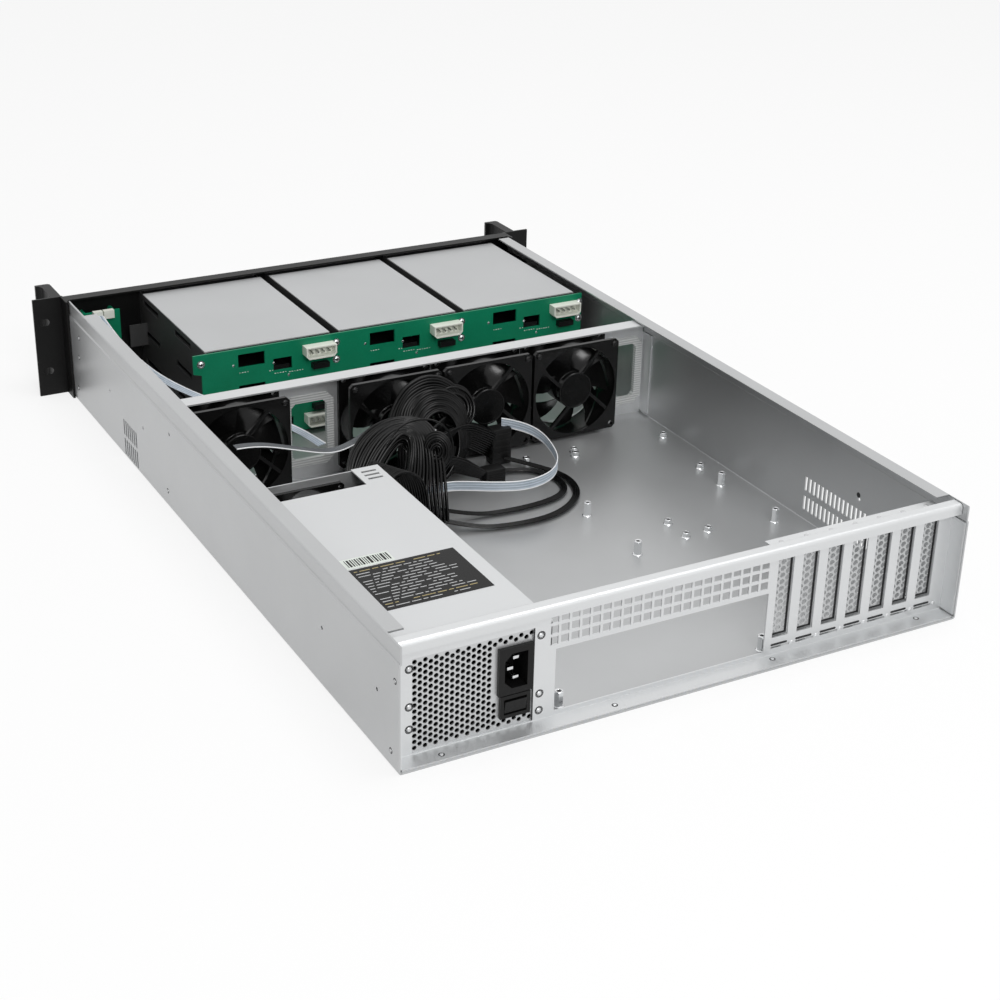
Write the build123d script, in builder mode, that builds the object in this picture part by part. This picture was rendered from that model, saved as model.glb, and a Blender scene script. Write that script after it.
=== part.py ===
# A two-unit rackmount server case, shown without its lid: a folded steel tray with a black front,
# nine drive trays in a cage, a fan wall, a flat power supply and the loose cables inside.
# Millimetres. X runs across the case, Y from the front (minus) to the rear (plus), Z up.
# The origin is the middle of the underside of the floor.
import os
from math import cos, pi, radians, sin, tan

from build123d import *

os.makedirs("parts", exist_ok=True)

# Case shell
case_width = 430.0
case_depth = 650.0
case_height = 88.0
sheet = 1.2
fold_radius = 2.0
flange_width = 13.0
flange_fold_radius = 1.5
wall_step = 1.0
wall_step_height = 12.5
left_flange_start = 41.0
right_flange_start = 2.0
flange_rear_gap = 20.0
side_hole_radius = 1.5
vent_slot_width = 2.7
vent_pitch = 5.0

# Rear panel
panel_sheet = 1.0
rear_recess = 14.0
rear_ledge = 13.0
lip_depth = 10.0
lip_drop = 7.6
lip_nose_radius = 3.0
panel_end_gap = 0.4
side_flange_gap = 0.8
io_width = 161.2
io_height = 45.0
io_bottom = 5.4
io_from_left = 114.5
grid_hole = 5.7
grid_pitch = 7.54
grid_row_pitch = 7.7
grid_columns = 22
grid_rows = 3
slot_count = 7
slot_pitch = 20.32
slot_width = 12.9
slot_height = 65.0
slot_bottom = 15.0
first_slot_from_left = 288.1
slit_width = 15.0
slit_height = 1.4
slit_z = 7.5
cover_sheet = 0.8
cover_width = 15.0
cover_setback = 2.0
cover_tongue_width = 8.0
cover_tab = 9.0
ledge_reach = 12.0
cover_hole = 6.2

# Board standoffs, on the hole pattern of a full-size board
standoff_height = 11.0
standoff_across_flats = 5.5
standoff_bore = 1.5
standoff_bore_depth = 8.0
standoff_first_from_left = 123.56
standoff_column_steps = (0.0, 157.48, 281.94)
standoff_rear_y = 301.5
standoff_row_steps = (0.0, 154.94, 227.33)
spare_post_height = 4.0
spare_posts = (
    (-114.0, -25.0),
    (-117.0, -32.0),
    (-193.9, 39.7),
    (-114.2, 114.2),
    (-114.3, 138.7),
    (-135.0, 137.6),
    (-71.8, -32.2),
    (-200.9, -26.0),
)

# Front panel and rack ears
front_overhang = 13.0
front_sheet = 1.5
front_return = 11.0
front_side_return = 35.0
ear_reach = 26.3
rack_hole_inset = 8.75
rack_hole_rise = 44.45
ear_sheet = 2.0
ear_leg = 16.0
ear_slot_length = 9.0
ear_slot_width = 6.5
handle_reach = 35.0
handle_web = 8.5
handle_hook = 4.5
handle_lip = 3.0
handle_hollow_radius = 6.0

# Drive cage, trays and levers
cage_columns = 3
cage_rows = 3
cage_sheet = 1.0
column_width = 109.0
column_pitch = 117.3
first_column_from_left = 67.0
cage_length = 166.9
cage_height = 83.0
bay_pitch = 27.0
guide_height = 17.8
guide_reach = 1.5
guide_length = 38.0
guide_slot_height = 5.0
guide_from_front = (11.5, 91.5)
cage_top_setback = 10.5
cage_top_rear_gap = 3.4
cage_tab = 16.0
cage_tab_height = 20.0
cage_tab_z = 50.0
cage_tab_setback = 7.0
tray_sheet = 0.8
tray_gap = 0.3
tray_length = 155.0
bezel_depth = 12.0
bezel_side_gap = 0.4
bezel_height = 26.4
bezel_proud = 0.5
lever_length = 70.0
lever_height = 13.0
lever_sheet = 3.0
lever_recess_depth = 4.8
lever_clearance = 0.4
lever_end_gap = 1.5
hinge_pin_radius = 1.0
hinge_clearance = 0.05
hinge_flats = 12
hinge_barrel_radius = 2.0
hinge_from_side = 16.0
bezel_vent_length = 24.0
bezel_vent_height = 3.0

# Backplane
board_thickness = 1.6
backplane_overhang_left = 12.0
backplane_overhang_right = 6.1
backplane_notch = 7.0
backplane_notch_height = 15.6
backplane_bottom = 2.4
backplane_top = 83.6
power_socket_width = 28.0
power_socket_height = 14.5
power_socket_depth = 9.0
data_socket_width = 14.5
data_socket_height = 4.5
data_socket_depth = 6.0
drive_socket_width = 33.4
drive_socket_height = 4.9
drive_socket_depth = 0.8

# Fan wall and case fans
fan_wall_from_front = 241.0
fan_wall_height = 86.0
fan_wall_flange = 14.0
fan_wall_foot = 12.0
wall_end_gap = 0.4
fan_size = 80.0
fan_depth = 25.0
fan_bore_radius = 38.0
fan_bore_sides = 16
fan_tip_gap = 1.2
fan_flange = 4.0
fan_hub_radius = 15.6
fan_hole_pitch = 71.5
fans_from_left = (52.5, 182.5, 264.6, 347.0)
fan_bottom = 4.0
fan_blades = 7
fan_struts = 4
shaft_radius = 1.5
shaft_clearance = 0.05
shaft_flats = 12
window_height = 60.5
window_bottom = 11.5
windows_from_left = ((97.0, 139.0), (391.0, 426.0))
trim_width = 6.0
trim_grip = 3.0
trim_lip = 1.2
window_corner = 6.0

# Power supply
psu_width = 100.0
psu_height = 69.8
psu_length = 253.0
psu_sheet = 1.0
psu_wall_gap = 10.8
psu_notch_length = 27.0
psu_strip_width = 21.0
psu_strip_slots = 3
psu_opening_left = 3.5
psu_opening_width = 83.0
psu_opening_bottom = 2.8
psu_opening_height = 66.2
psu_vent_pitch = 11.6
psu_vent_hole = 5.2
psu_fan_size = 60.0
psu_fan_bore = 28.5
psu_fan_hub = 13.0
inlet_width = 24.0
inlet_height = 33.0
inlet_bottom = 27.2
inlet_from_side = 14.2
inlet_depth = 22.0
inlet_rim = 1.6
switch_width = 21.0
switch_height = 16.0
switch_bottom = 10.6

# Control board behind the front panel
control_from_left = 27.0
control_width = 33.5
control_bottom = 34.0
control_height = 42.0
control_setback = 16.5
button_radius = 5.0
button_sides = 16
button_clearance = 0.3
button_collar = 1.6
power_button_z = 60.0
reset_button_radius = 2.5
reset_button_z = 44.0

# Cables
wire_bundle_wide = 22.0
wire_bundle_thick = 12.0
floor_cable_wide = 8.0
floor_cable_thick = 4.0
ribbon_width = 10.0
ribbon_thickness = 1.5
plug_long = 27.0
plug_wide = 17.0
plug_deep = 12.0

# Places worked out from the sizes above
half_width = case_width / 2
io_left = half_width - io_from_left
first_slot_x = half_width - first_slot_from_left
standoff_columns = [half_width - standoff_first_from_left - step for step in standoff_column_steps]
first_column_x = half_width - first_column_from_left
fan_centres = [half_width - distance for distance in fans_from_left]
windows = [(half_width - far, half_width - near) for near, far in windows_from_left]
control_x = half_width - control_from_left
front_edge = -case_depth / 2
rear_edge = case_depth / 2
wall_inside = half_width - sheet
step_z = case_height - wall_step_height
side_flange_height = step_z - side_flange_gap - sheet - fold_radius
upper_wall_inside = wall_inside - wall_step
floor_top = sheet
rear_face = rear_edge - rear_recess
panel_inside = rear_face - panel_sheet
front_face = front_edge - front_overhang
front_back = front_face + front_sheet
cage_front = front_back
cage_rear = cage_front + cage_length
column_lefts = [first_column_x - i * column_pitch for i in range(cage_columns)]
cage_right = column_lefts[-1] - column_width
cage_floor = floor_top + cage_sheet
bay_floors = [cage_floor + i * bay_pitch for i in range(cage_rows)]
backplane_front = cage_rear
backplane_rear = backplane_front + board_thickness
fan_wall_front = front_edge + fan_wall_from_front
fan_wall_rear = fan_wall_front + sheet
fan_centre_z = fan_bottom + fan_size / 2
psu_left = wall_inside - psu_wall_gap
psu_right = psu_left - psu_width
psu_rear = panel_inside
psu_front = psu_rear - psu_length
psu_top = floor_top + psu_height
inlet_left = psu_right + inlet_from_side + inlet_width
inlet_centre_x = inlet_left - inlet_width / 2
inlet_centre_z = inlet_bottom + inlet_height / 2
switch_centre_z = switch_bottom + switch_height / 2
grid_first_x = io_left + 1.5
grid_bottom = io_bottom + io_height + 3.4
ledge_z = slot_bottom + slot_height + 1.3


def across(y):
    """The plane at depth y that faces the front, with X to the right and Z up."""
    return Plane.XZ.offset(-y)


def finish(piece, label):
    """Name a finished piece and write its file."""
    piece.part.label = label
    export_step(piece.part, f"parts/{label}.step")


def sheet_section(plane, points, radii, thickness, side):
    """The section, on a plane, of a folded sheet that runs through the points."""
    with BuildSketch(plane) as section:
        with BuildLine():
            FilletPolyline(*points, radius=radii)
            offset(amount=thickness, side=side, kind=Kind.INTERSECTION)
        make_face()
    return section.sketch


# The tray is one sheet: floor, two side walls with a small step, and the flanges that carry the lid.
flange_inner = half_width - flange_width
half_section = [
    (flange_inner, case_height),
    (half_width - wall_step, case_height),
    (half_width - wall_step, step_z + wall_step),
    (half_width, step_z),
    (half_width, 0),
]
other_half = [(-x, z) for x, z in reversed(half_section)]
section_radii = [flange_fold_radius, 0, 0, fold_radius]
side_holes = (
    (front_edge + 108, 45.7),
    (front_edge + 190.6, 45.3),
    (fan_wall_front + 13, 65.0),
    (rear_edge - 112, 44.0),
    (rear_edge - 30, 44.0),
)
left_vent_y = front_edge + 156
left_vent_blocks = ((9.8, 14.4), (26.8, 13.5))
left_vent_columns = 7
right_vent_y = 193.5
right_vent_blocks = ((14.3, 11.5), (30.3, 11.5))
right_vent_columns = 18
with BuildPart() as base_tray:
    tray_path = half_section + other_half
    tray_radii = section_radii + section_radii[::-1]
    extrude(sheet_section(across(rear_edge), tray_path, tray_radii, sheet, Side.RIGHT), amount=case_depth)
    flange_cut = flange_width - wall_step - sheet
    for side, start in ((1, left_flange_start), (-1, right_flange_start)):
        x = side * (flange_inner + flange_cut / 2)
        with BuildSketch(Plane.XY.offset(case_height - 2 * sheet)):
            with Locations((x, front_edge + start / 2)):
                Rectangle(flange_cut, start)
            with Locations((x, rear_edge - flange_rear_gap / 2)):
                Rectangle(flange_cut, flange_rear_gap)
        extrude(amount=2 * sheet, mode=Mode.SUBTRACT)
    with BuildSketch(Plane.YZ.offset(-half_width)):
        with Locations(*side_holes):
            RegularPolygon(side_hole_radius, 6)
    extrude(amount=case_width, mode=Mode.SUBTRACT)
    with BuildSketch(Plane.YZ.offset(half_width - 2 * sheet)):
        for z, height in left_vent_blocks:
            with Locations((left_vent_y, z)):
                with GridLocations(vent_pitch, 0, left_vent_columns, 1):
                    Rectangle(vent_slot_width, height)
    extrude(amount=3 * sheet, mode=Mode.SUBTRACT)
    with BuildSketch(Plane.YZ.offset(-half_width - sheet)):
        for z, height in right_vent_blocks:
            with Locations((right_vent_y, z)):
                with GridLocations(vent_pitch, 0, right_vent_columns, 1):
                    Rectangle(vent_slot_width, height)
    extrude(amount=3 * sheet, mode=Mode.SUBTRACT)
finish(base_tray, "base_tray")

# The rear panel stands on the floor, set in from the rear edge, with a hollow lip along its top.
panel_path = [
    (rear_face + rear_ledge, floor_top),
    (panel_inside, floor_top),
    (panel_inside, case_height - panel_sheet),
    (panel_inside + lip_depth, case_height - panel_sheet),
    (panel_inside + lip_depth, case_height - panel_sheet - lip_drop),
]
panel_half = upper_wall_inside - panel_end_gap
slot_xs = [first_slot_x - i * slot_pitch for i in range(slot_count)]
slot_centre_z = slot_bottom + slot_height / 2
psu_opening_x = psu_left - psu_opening_left - psu_opening_width / 2
psu_opening_z = psu_opening_bottom + psu_opening_height / 2
psu_screw_radius = 2.4
psu_screws = (
    (psu_left - 1.6, 62.5),
    (psu_left - 1.6, 36.3),
    (psu_left - 1.6, 20.5),
    (psu_right + 8.4, 62.9),
    (psu_right + 8.4, 21.2),
    (psu_right + 8.4, 9.0),
)
with BuildPart() as rear_panel:
    panel_end = Plane.YZ.offset(-panel_half)
    panel_radii = [1.2, 1.5, lip_nose_radius]
    extrude(sheet_section(panel_end, panel_path, panel_radii, panel_sheet, Side.RIGHT), amount=2 * panel_half)
    for side in (1, -1):
        with BuildSketch(Plane.XY.offset(floor_top + fold_radius)):
            with Locations((side * (wall_inside - panel_sheet / 2), rear_face + rear_ledge / 2)):
                Rectangle(panel_sheet, rear_ledge)
            with Locations((side * (wall_inside - 2 * panel_sheet), rear_face - panel_sheet / 2)):
                Rectangle(4 * panel_sheet, panel_sheet)
        extrude(amount=side_flange_height)
    with BuildSketch(across(rear_face + panel_sheet)):
        with Locations((io_left - io_width / 2, io_bottom + io_height / 2)):
            Rectangle(io_width, io_height)
        with Locations((psu_opening_x, psu_opening_z)):
            Rectangle(psu_opening_width, psu_opening_height)
        for x in slot_xs:
            with Locations((x, slot_centre_z)):
                Rectangle(slot_width, slot_height)
            with Locations((x - 1, slit_z)):
                Rectangle(slit_width, slit_height)
        for column in range(grid_columns):
            for row in range(grid_rows):
                x = grid_first_x - column * grid_pitch
                with Locations((x, grid_bottom + grid_hole / 2 + row * grid_row_pitch)):
                    Rectangle(grid_hole, grid_hole)
        with Locations(*psu_screws):
            RegularPolygon(psu_screw_radius, 8)
    extrude(amount=3 * panel_sheet, mode=Mode.SUBTRACT)
    ledge_width = (slot_count - 1) * slot_pitch + cover_width + 4
    with BuildSketch(Plane.XY.offset(ledge_z)):
        with Locations((first_slot_x - (slot_count - 1) * slot_pitch / 2, panel_inside - ledge_reach / 2)):
            Rectangle(ledge_width, ledge_reach)
    extrude(amount=panel_sheet)
finish(rear_panel, "rear_panel")

# Each slot cover is a perforated strip: a tab on top lies under the panel's ledge, and a narrow
# tongue at the bottom stands behind the slit.
cover_rear = panel_inside - cover_setback
cover_bottom = slot_bottom - 1
tongue_bottom = 5.0
cover_hole_rows = 4
with BuildPart() as slot_covers:
    for x in slot_xs:
        with BuildSketch(across(cover_rear)):
            with Locations((x, (cover_bottom + ledge_z) / 2)):
                Rectangle(cover_width, ledge_z - cover_bottom)
            with Locations((x, (tongue_bottom + cover_bottom) / 2)):
                Rectangle(cover_tongue_width, cover_bottom - tongue_bottom)
            for row in range(cover_hole_rows):
                z = slot_bottom + (row + 0.5) * slot_height / cover_hole_rows
                with Locations((x, z)):
                    RegularPolygon(cover_hole, 6, rotation=30, mode=Mode.SUBTRACT)
        extrude(amount=cover_sheet)
        with BuildSketch(Plane.XY.offset(ledge_z - cover_sheet)):
            with Locations((x, cover_rear - cover_tab / 2)):
                Rectangle(cover_width, cover_tab)
        extrude(amount=cover_sheet)
finish(slot_covers, "slot_covers")

# Hexagonal standoffs stand on the floor, each with a threaded hole down from its top.
standoff_places = [(x, standoff_rear_y - step) for x in standoff_columns for step in standoff_row_steps]
standoff_radius = standoff_across_flats / (2 * cos(pi / 6))
with BuildPart() as standoffs:
    with BuildSketch(Plane.XY.offset(floor_top)):
        with Locations(*standoff_places):
            RegularPolygon(standoff_radius, 6)
    extrude(amount=standoff_height)
    with BuildSketch(Plane.XY.offset(floor_top)):
        with Locations(*spare_posts):
            RegularPolygon(standoff_radius, 6)
    extrude(amount=spare_post_height)
    with BuildSketch(Plane.XY.offset(floor_top + standoff_height)):
        with Locations(*standoff_places):
            Circle(standoff_bore)
    extrude(amount=-standoff_bore_depth, mode=Mode.SUBTRACT)
finish(standoffs, "standoffs")

# The front panel is a black folded frame. Its side returns reach inside the tray's walls.
bay_opening_width = column_width - 2 * cage_sheet
bay_opening_height = cage_rows * bay_pitch
button_places = (
    (control_x, power_button_z, button_radius),
    (control_x, reset_button_z, reset_button_radius),
)
with BuildPart() as front_panel:
    with BuildSketch(across(front_back)):
        with Locations((0, case_height / 2)):
            Rectangle(case_width, case_height)
        for left in column_lefts:
            with Locations((left - column_width / 2, cage_floor + bay_opening_height / 2)):
                Rectangle(bay_opening_width, bay_opening_height, mode=Mode.SUBTRACT)
        for x, z, radius in button_places:
            with Locations((x, z)):
                RegularPolygon(radius + button_clearance, button_sides, mode=Mode.SUBTRACT)
    extrude(amount=front_sheet)
    with BuildSketch(Plane.YZ.offset(-half_width)):
        with Locations((front_face + front_return / 2, case_height - front_sheet / 2)):
            Rectangle(front_return, front_sheet)
        with Locations((front_face + front_overhang / 2, sheet / 2)):
            Rectangle(front_overhang, sheet)
    extrude(amount=case_width)
    for side in (1, -1):
        with BuildSketch(Plane.XY):
            with Locations((side * (half_width - front_sheet / 2), front_face + front_overhang / 2)):
                Rectangle(front_sheet, front_overhang)
        extrude(amount=case_height)
        return_length = front_side_return + front_sheet
        with BuildSketch(Plane.XY.offset(floor_top + fold_radius)):
            with Locations(
                (side * (wall_inside - front_sheet / 2), front_edge - front_sheet + return_length / 2)
            ):
                Rectangle(front_sheet, return_length)
        extrude(amount=side_flange_height)
finish(front_panel, "front_panel")

# Each ear is an angle screwed to the panel's side. The handle on it is one bent bar of full height.
handle_back = front_face - ear_sheet
handle_front = handle_back - handle_reach


def make_ear(side, handle_x, label):
    """One rack ear; handle_x is the outer or inner side of the handle's web that lies at lower X."""
    inner_x = side * half_width
    outer_x = side * (half_width + ear_reach)
    leg_end = handle_back + ear_leg + ear_sheet
    web_far = handle_x + handle_web
    tip = web_far + handle_hook
    hollow = handle_hollow_radius
    with BuildPart() as ear:
        with BuildSketch(Plane.XY):
            with BuildLine():
                Polyline(
                    (inner_x, leg_end),
                    (inner_x, handle_back),
                    (outer_x, handle_back),
                    (outer_x, handle_back + ear_sheet),
                    (inner_x + side * ear_sheet, handle_back + ear_sheet),
                    (inner_x + side * ear_sheet, leg_end),
                    close=True,
                )
            make_face()
        extrude(amount=case_height)
        with BuildSketch(Plane.XY):
            with BuildLine():
                Line((handle_x, handle_back), (web_far, handle_back))
                Line((web_far, handle_back), (web_far, handle_front + handle_lip + hollow))
                RadiusArc(
                    (web_far, handle_front + handle_lip + hollow),
                    (tip, handle_front + handle_lip),
                    -1.05 * hollow,
                )
                Line((tip, handle_front + handle_lip), (tip, handle_front))
                Line((tip, handle_front), (handle_x + handle_lip, handle_front))
                RadiusArc(
                    (handle_x + handle_lip, handle_front),
                    (handle_x, handle_front + handle_lip),
                    handle_lip,
                )
                Line((handle_x, handle_front + handle_lip), (handle_x, handle_back))
            make_face()
        extrude(amount=case_height)
        with BuildSketch(across(handle_back + ear_sheet)):
            with Locations((side * (half_width + ear_reach - rack_hole_inset), case_height / 2 + 0.45)):
                with GridLocations(0, rack_hole_rise, 1, 2):
                    SlotOverall(ear_slot_length, ear_slot_width)
        extrude(amount=2 * ear_sheet, mode=Mode.SUBTRACT)
    finish(ear, label)


handle_clear = 1.0
hook_gap = 0.5
make_ear(1, half_width + handle_clear, "ear_left")
make_ear(-1, -half_width + hook_gap - handle_web - handle_hook, "ear_right")

# The fan wall is a folded strip: a foot on the floor, a web, and a flange along the top.
fan_wall_path = [
    (fan_wall_front - fan_wall_foot, floor_top),
    (fan_wall_rear, floor_top),
    (fan_wall_rear, fan_wall_height - sheet),
    (fan_wall_rear + fan_wall_flange - sheet, fan_wall_height - sheet),
]
window_centre_z = window_bottom + window_height / 2


def window_outline(width, inset):
    """The outline of a cable window with cut corners, moved in by the inset all round."""
    cut = window_corner - inset * tan(pi / 8)
    with BuildSketch() as outline:
        Rectangle(width - 2 * inset, window_height - 2 * inset)
        chamfer(outline.vertices(), cut)
    return outline.sketch


with BuildPart() as fan_wall:
    wall_half = upper_wall_inside - wall_end_gap
    wall_end = Plane.YZ.offset(-wall_half)
    extrude(sheet_section(wall_end, fan_wall_path, [0, 0], sheet, Side.LEFT), amount=2 * wall_half)
    for side in (1, -1):
        with BuildSketch(Plane.XY.offset(floor_top + fold_radius)):
            with Locations((side * (wall_inside - sheet / 2), fan_wall_front + fan_wall_flange / 2)):
                Rectangle(sheet, fan_wall_flange)
            with Locations((side * (wall_inside - 2 * sheet), fan_wall_front + sheet / 2)):
                Rectangle(4 * sheet, sheet)
        extrude(amount=side_flange_height)
    with BuildSketch(across(fan_wall_rear + sheet)):
        for x in fan_centres:
            with Locations((x, fan_centre_z)):
                RegularPolygon(fan_bore_radius, fan_bore_sides, rotation=180 / fan_bore_sides)
        for low, high in windows:
            with Locations(((low + high) / 2, window_centre_z)):
                add(window_outline(high - low, trim_grip))
    extrude(amount=3 * sheet, mode=Mode.SUBTRACT)
finish(fan_wall, "fan_wall")

# White edge trim is clipped round the two cable windows of the fan wall.
with BuildPart() as window_trims:
    for low, high in windows:
        centre = ((low + high) / 2, window_centre_z)
        with BuildSketch(across(fan_wall_rear + trim_lip)):
            with Locations(centre):
                add(window_outline(high - low, 0))
                add(window_outline(high - low, trim_width), mode=Mode.SUBTRACT)
        extrude(amount=sheet + 2 * trim_lip)
        with BuildSketch(across(fan_wall_rear)):
            with Locations(centre):
                add(window_outline(high - low, -1))
                add(window_outline(high - low, trim_grip), mode=Mode.SUBTRACT)
        extrude(amount=sheet, mode=Mode.SUBTRACT)
finish(window_trims, "window_trims")


def make_fan(x, z, y_front, size, bore, hub, depth, frame_label, rotor_label):
    """A square axial fan: the frame with its struts and bearing, and the rotor turning in it."""
    y_rear = y_front + depth
    centre = (x, z)
    flat = 180 / fan_bore_sides
    strut_depth = 3.0
    bearing_length = depth / 2
    bearing_radius = 4.0
    with BuildPart() as frame:
        with BuildSketch(across(y_rear)):
            with Locations(centre):
                Rectangle(size, size)
                RegularPolygon(bore, fan_bore_sides, rotation=flat, mode=Mode.SUBTRACT)
        extrude(amount=depth)
        with BuildSketch(across(y_rear - fan_flange)):
            with Locations(centre):
                Rectangle(size, size)
                octagon = (size / 2 - 0.2) / cos(pi / 8)
                RegularPolygon(octagon, 8, rotation=22.5, mode=Mode.SUBTRACT)
        extrude(amount=depth - 2 * fan_flange, mode=Mode.SUBTRACT)
        with BuildSketch(across(y_rear)):
            with Locations(centre):
                RegularPolygon(hub, 12)
                with PolarLocations((hub + bore) / 2 + 1, fan_struts, 45):
                    Rectangle(bore - hub + 5, strut_depth)
        extrude(amount=strut_depth)
        with BuildSketch(across(y_rear)):
            with Locations(centre):
                RegularPolygon(bearing_radius, 6)
        extrude(amount=bearing_length)
        with BuildSketch(across(y_rear - strut_depth)):
            with Locations(centre):
                RegularPolygon((shaft_radius + shaft_clearance) / cos(pi / shaft_flats), shaft_flats)
        extrude(amount=bearing_length, mode=Mode.SUBTRACT)
    finish(frame, frame_label)

    cup_front = y_front + 1.5
    cup_rear = y_rear - strut_depth - 0.8
    shaft_rear = y_rear - strut_depth - 1.0
    cup_wall = 2.0
    blade_angle = 38
    root_share = 0.7
    chord = 1.04 * depth
    blade_sheet = 1.4
    root_radius = hub - 2 * cup_wall
    half_swing = 0.5 * chord * cos(radians(blade_angle)) + blade_sheet
    tip_radius = ((bore * cos(pi / fan_bore_sides) - fan_tip_gap) ** 2 - half_swing**2) ** 0.5
    with BuildPart() as rotor:
        with BuildSketch(across(cup_rear)):
            with Locations(centre):
                RegularPolygon(hub, 2 * fan_blades)
                RegularPolygon(hub - cup_wall, 2 * fan_blades, mode=Mode.SUBTRACT)
        extrude(amount=cup_rear - cup_front)
        with BuildSketch(across(cup_front + cup_wall)):
            with Locations(centre):
                RegularPolygon(hub, 2 * fan_blades)
        extrude(amount=cup_wall)
        with BuildSketch(across(shaft_rear)):
            with Locations(centre):
                Circle(shaft_radius)
        extrude(amount=shaft_rear - cup_front)
        for i in range(fan_blades):
            outward = Vector(1, 0, 0).rotate(Axis.Y, 360 * i / fan_blades)
            facing = Vector(0, 1, 0).rotate(Axis((0, 0, 0), outward), blade_angle)
            blade_plane = Plane(origin=(x, (cup_front + cup_rear) / 2, z), x_dir=outward, z_dir=facing)
            with BuildSketch(blade_plane):
                with BuildLine():
                    Polyline(
                        (root_radius, -root_share * chord / 2),
                        (tip_radius, -chord / 2),
                        (tip_radius, chord / 2),
                        (root_radius, root_share * chord / 2),
                        close=True,
                    )
                make_face()
            extrude(amount=blade_sheet / 2, both=True)
        with BuildSketch(across(shaft_rear)):
            with Locations(centre):
                RegularPolygon(hub - cup_wall, 2 * fan_blades)
                Circle(shaft_radius, mode=Mode.SUBTRACT)
        extrude(amount=shaft_rear - cup_front - cup_wall, mode=Mode.SUBTRACT)
    finish(rotor, rotor_label)


for number, x in enumerate(fan_centres, start=1):
    make_fan(
        x,
        fan_centre_z,
        fan_wall_rear,
        fan_size,
        fan_bore_radius,
        fan_hub_radius,
        fan_depth,
        f"fan_frame_{number}",
        f"fan_rotor_{number}",
    )

# The drive cage: a floor with six upright walls. Guide tabs are lanced out of the two outer walls,
# and the inner ones carry long guide strips.
with BuildPart() as drive_cage:
    cage_span = first_column_x - cage_right
    with BuildSketch(Plane.XY.offset(floor_top)):
        with Locations((first_column_x - cage_span / 2, (cage_front + cage_rear) / 2)):
            Rectangle(cage_span, cage_length)
    extrude(amount=cage_sheet)
    with BuildSketch(across(cage_rear)):
        for left in column_lefts:
            for x in (left - cage_sheet / 2, left - column_width + cage_sheet / 2):
                with Locations((x, (floor_top + cage_height) / 2)):
                    Rectangle(cage_sheet, cage_height - floor_top)
    extrude(amount=cage_length)
    with BuildSketch(across(front_edge + cage_tab_setback)):
        with Locations((first_column_x + cage_tab / 2 - cage_sheet / 2, cage_tab_z)):
            Rectangle(cage_tab + cage_sheet, cage_tab_height)
    extrude(amount=cage_sheet)
    for wall_x in (first_column_x, cage_right + cage_sheet):
        with BuildSketch(Plane.YZ.offset(wall_x - 1.5 * cage_sheet)):
            for floor_z in bay_floors:
                slot_z = floor_z + guide_height + guide_slot_height / 2
                for start in guide_from_front:
                    with Locations((cage_front + start + guide_length / 2, slot_z)):
                        Rectangle(guide_length, guide_slot_height)
        extrude(amount=2 * cage_sheet, mode=Mode.SUBTRACT)
    guide_span = guide_from_front[-1] + guide_length - guide_from_front[0]
    for left in column_lefts:
        for x, outer_wall in (
            (left - (cage_sheet + guide_reach) / 2, left == first_column_x),
            (left - column_width + (cage_sheet + guide_reach) / 2, left == column_lefts[-1]),
        ):
            starts = guide_from_front if outer_wall else guide_from_front[:1]
            length = guide_length if outer_wall else guide_span
            for start in starts:
                with BuildSketch(across(cage_front + start + length)):
                    for floor_z in bay_floors:
                        with Locations((x, floor_z + guide_height - cage_sheet / 2)):
                            Rectangle(guide_reach + cage_sheet, cage_sheet)
                extrude(amount=length)
finish(drive_cage, "drive_cage")

# Light plates close the three columns on top.
top_front = front_edge - front_overhang + cage_top_setback + front_sheet
top_rear = cage_rear - cage_top_rear_gap
with BuildPart() as cage_tops:
    with BuildSketch(Plane.XY.offset(cage_height)):
        for left in column_lefts:
            with Locations((left - column_width / 2, (top_front + top_rear) / 2)):
                Rectangle(column_width, top_rear - top_front)
    extrude(amount=cage_sheet)
finish(cage_tops, "cage_tops")

# One board closes the rear of all three columns. It has vents, and the sockets for power and data.
board_left = first_column_x + backplane_overhang_left
board_right = cage_right - backplane_overhang_right
column_vents = (
    (37.7, 73.1, 23.0, 11.3),
    (64.8, 65.0, 16.4, 10.5),
)
vent_row_steps = (0.0, bay_pitch, 2 * bay_pitch)
with BuildPart() as backplane:
    with BuildSketch(across(backplane_rear)):
        with BuildLine():
            Polyline(
                (board_left, backplane_top),
                (board_left, backplane_top - backplane_notch_height),
                (board_left - backplane_notch, backplane_top - backplane_notch_height - 2),
                (board_left - backplane_notch, backplane_bottom),
                (board_right, backplane_bottom),
                (board_right, backplane_top),
                close=True,
            )
        make_face()
        for left in column_lefts:
            for from_left, z, width, height in column_vents:
                for step in vent_row_steps:
                    with Locations((left - from_left, z - step)):
                        Rectangle(width, height, mode=Mode.SUBTRACT)
    extrude(amount=board_thickness)
finish(backplane, "backplane")

# White power sockets with two cut corners: one near the top and one near the bottom of each column.
power_socket_from_left = 96.0
power_socket_zs = (71.8, 11.2)
socket_chamfer = 3.0
with BuildSketch() as power_outline:
    Rectangle(power_socket_width, power_socket_height)
    chamfer(power_outline.vertices().group_by(Axis.Y)[0], socket_chamfer)
with BuildPart() as power_sockets:
    with BuildSketch(across(backplane_rear + power_socket_depth)):
        for left in column_lefts:
            for z in power_socket_zs:
                with Locations((left - power_socket_from_left, z)):
                    add(power_outline.sketch)
    extrude(amount=power_socket_depth)
finish(power_sockets, "power_sockets")

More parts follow.
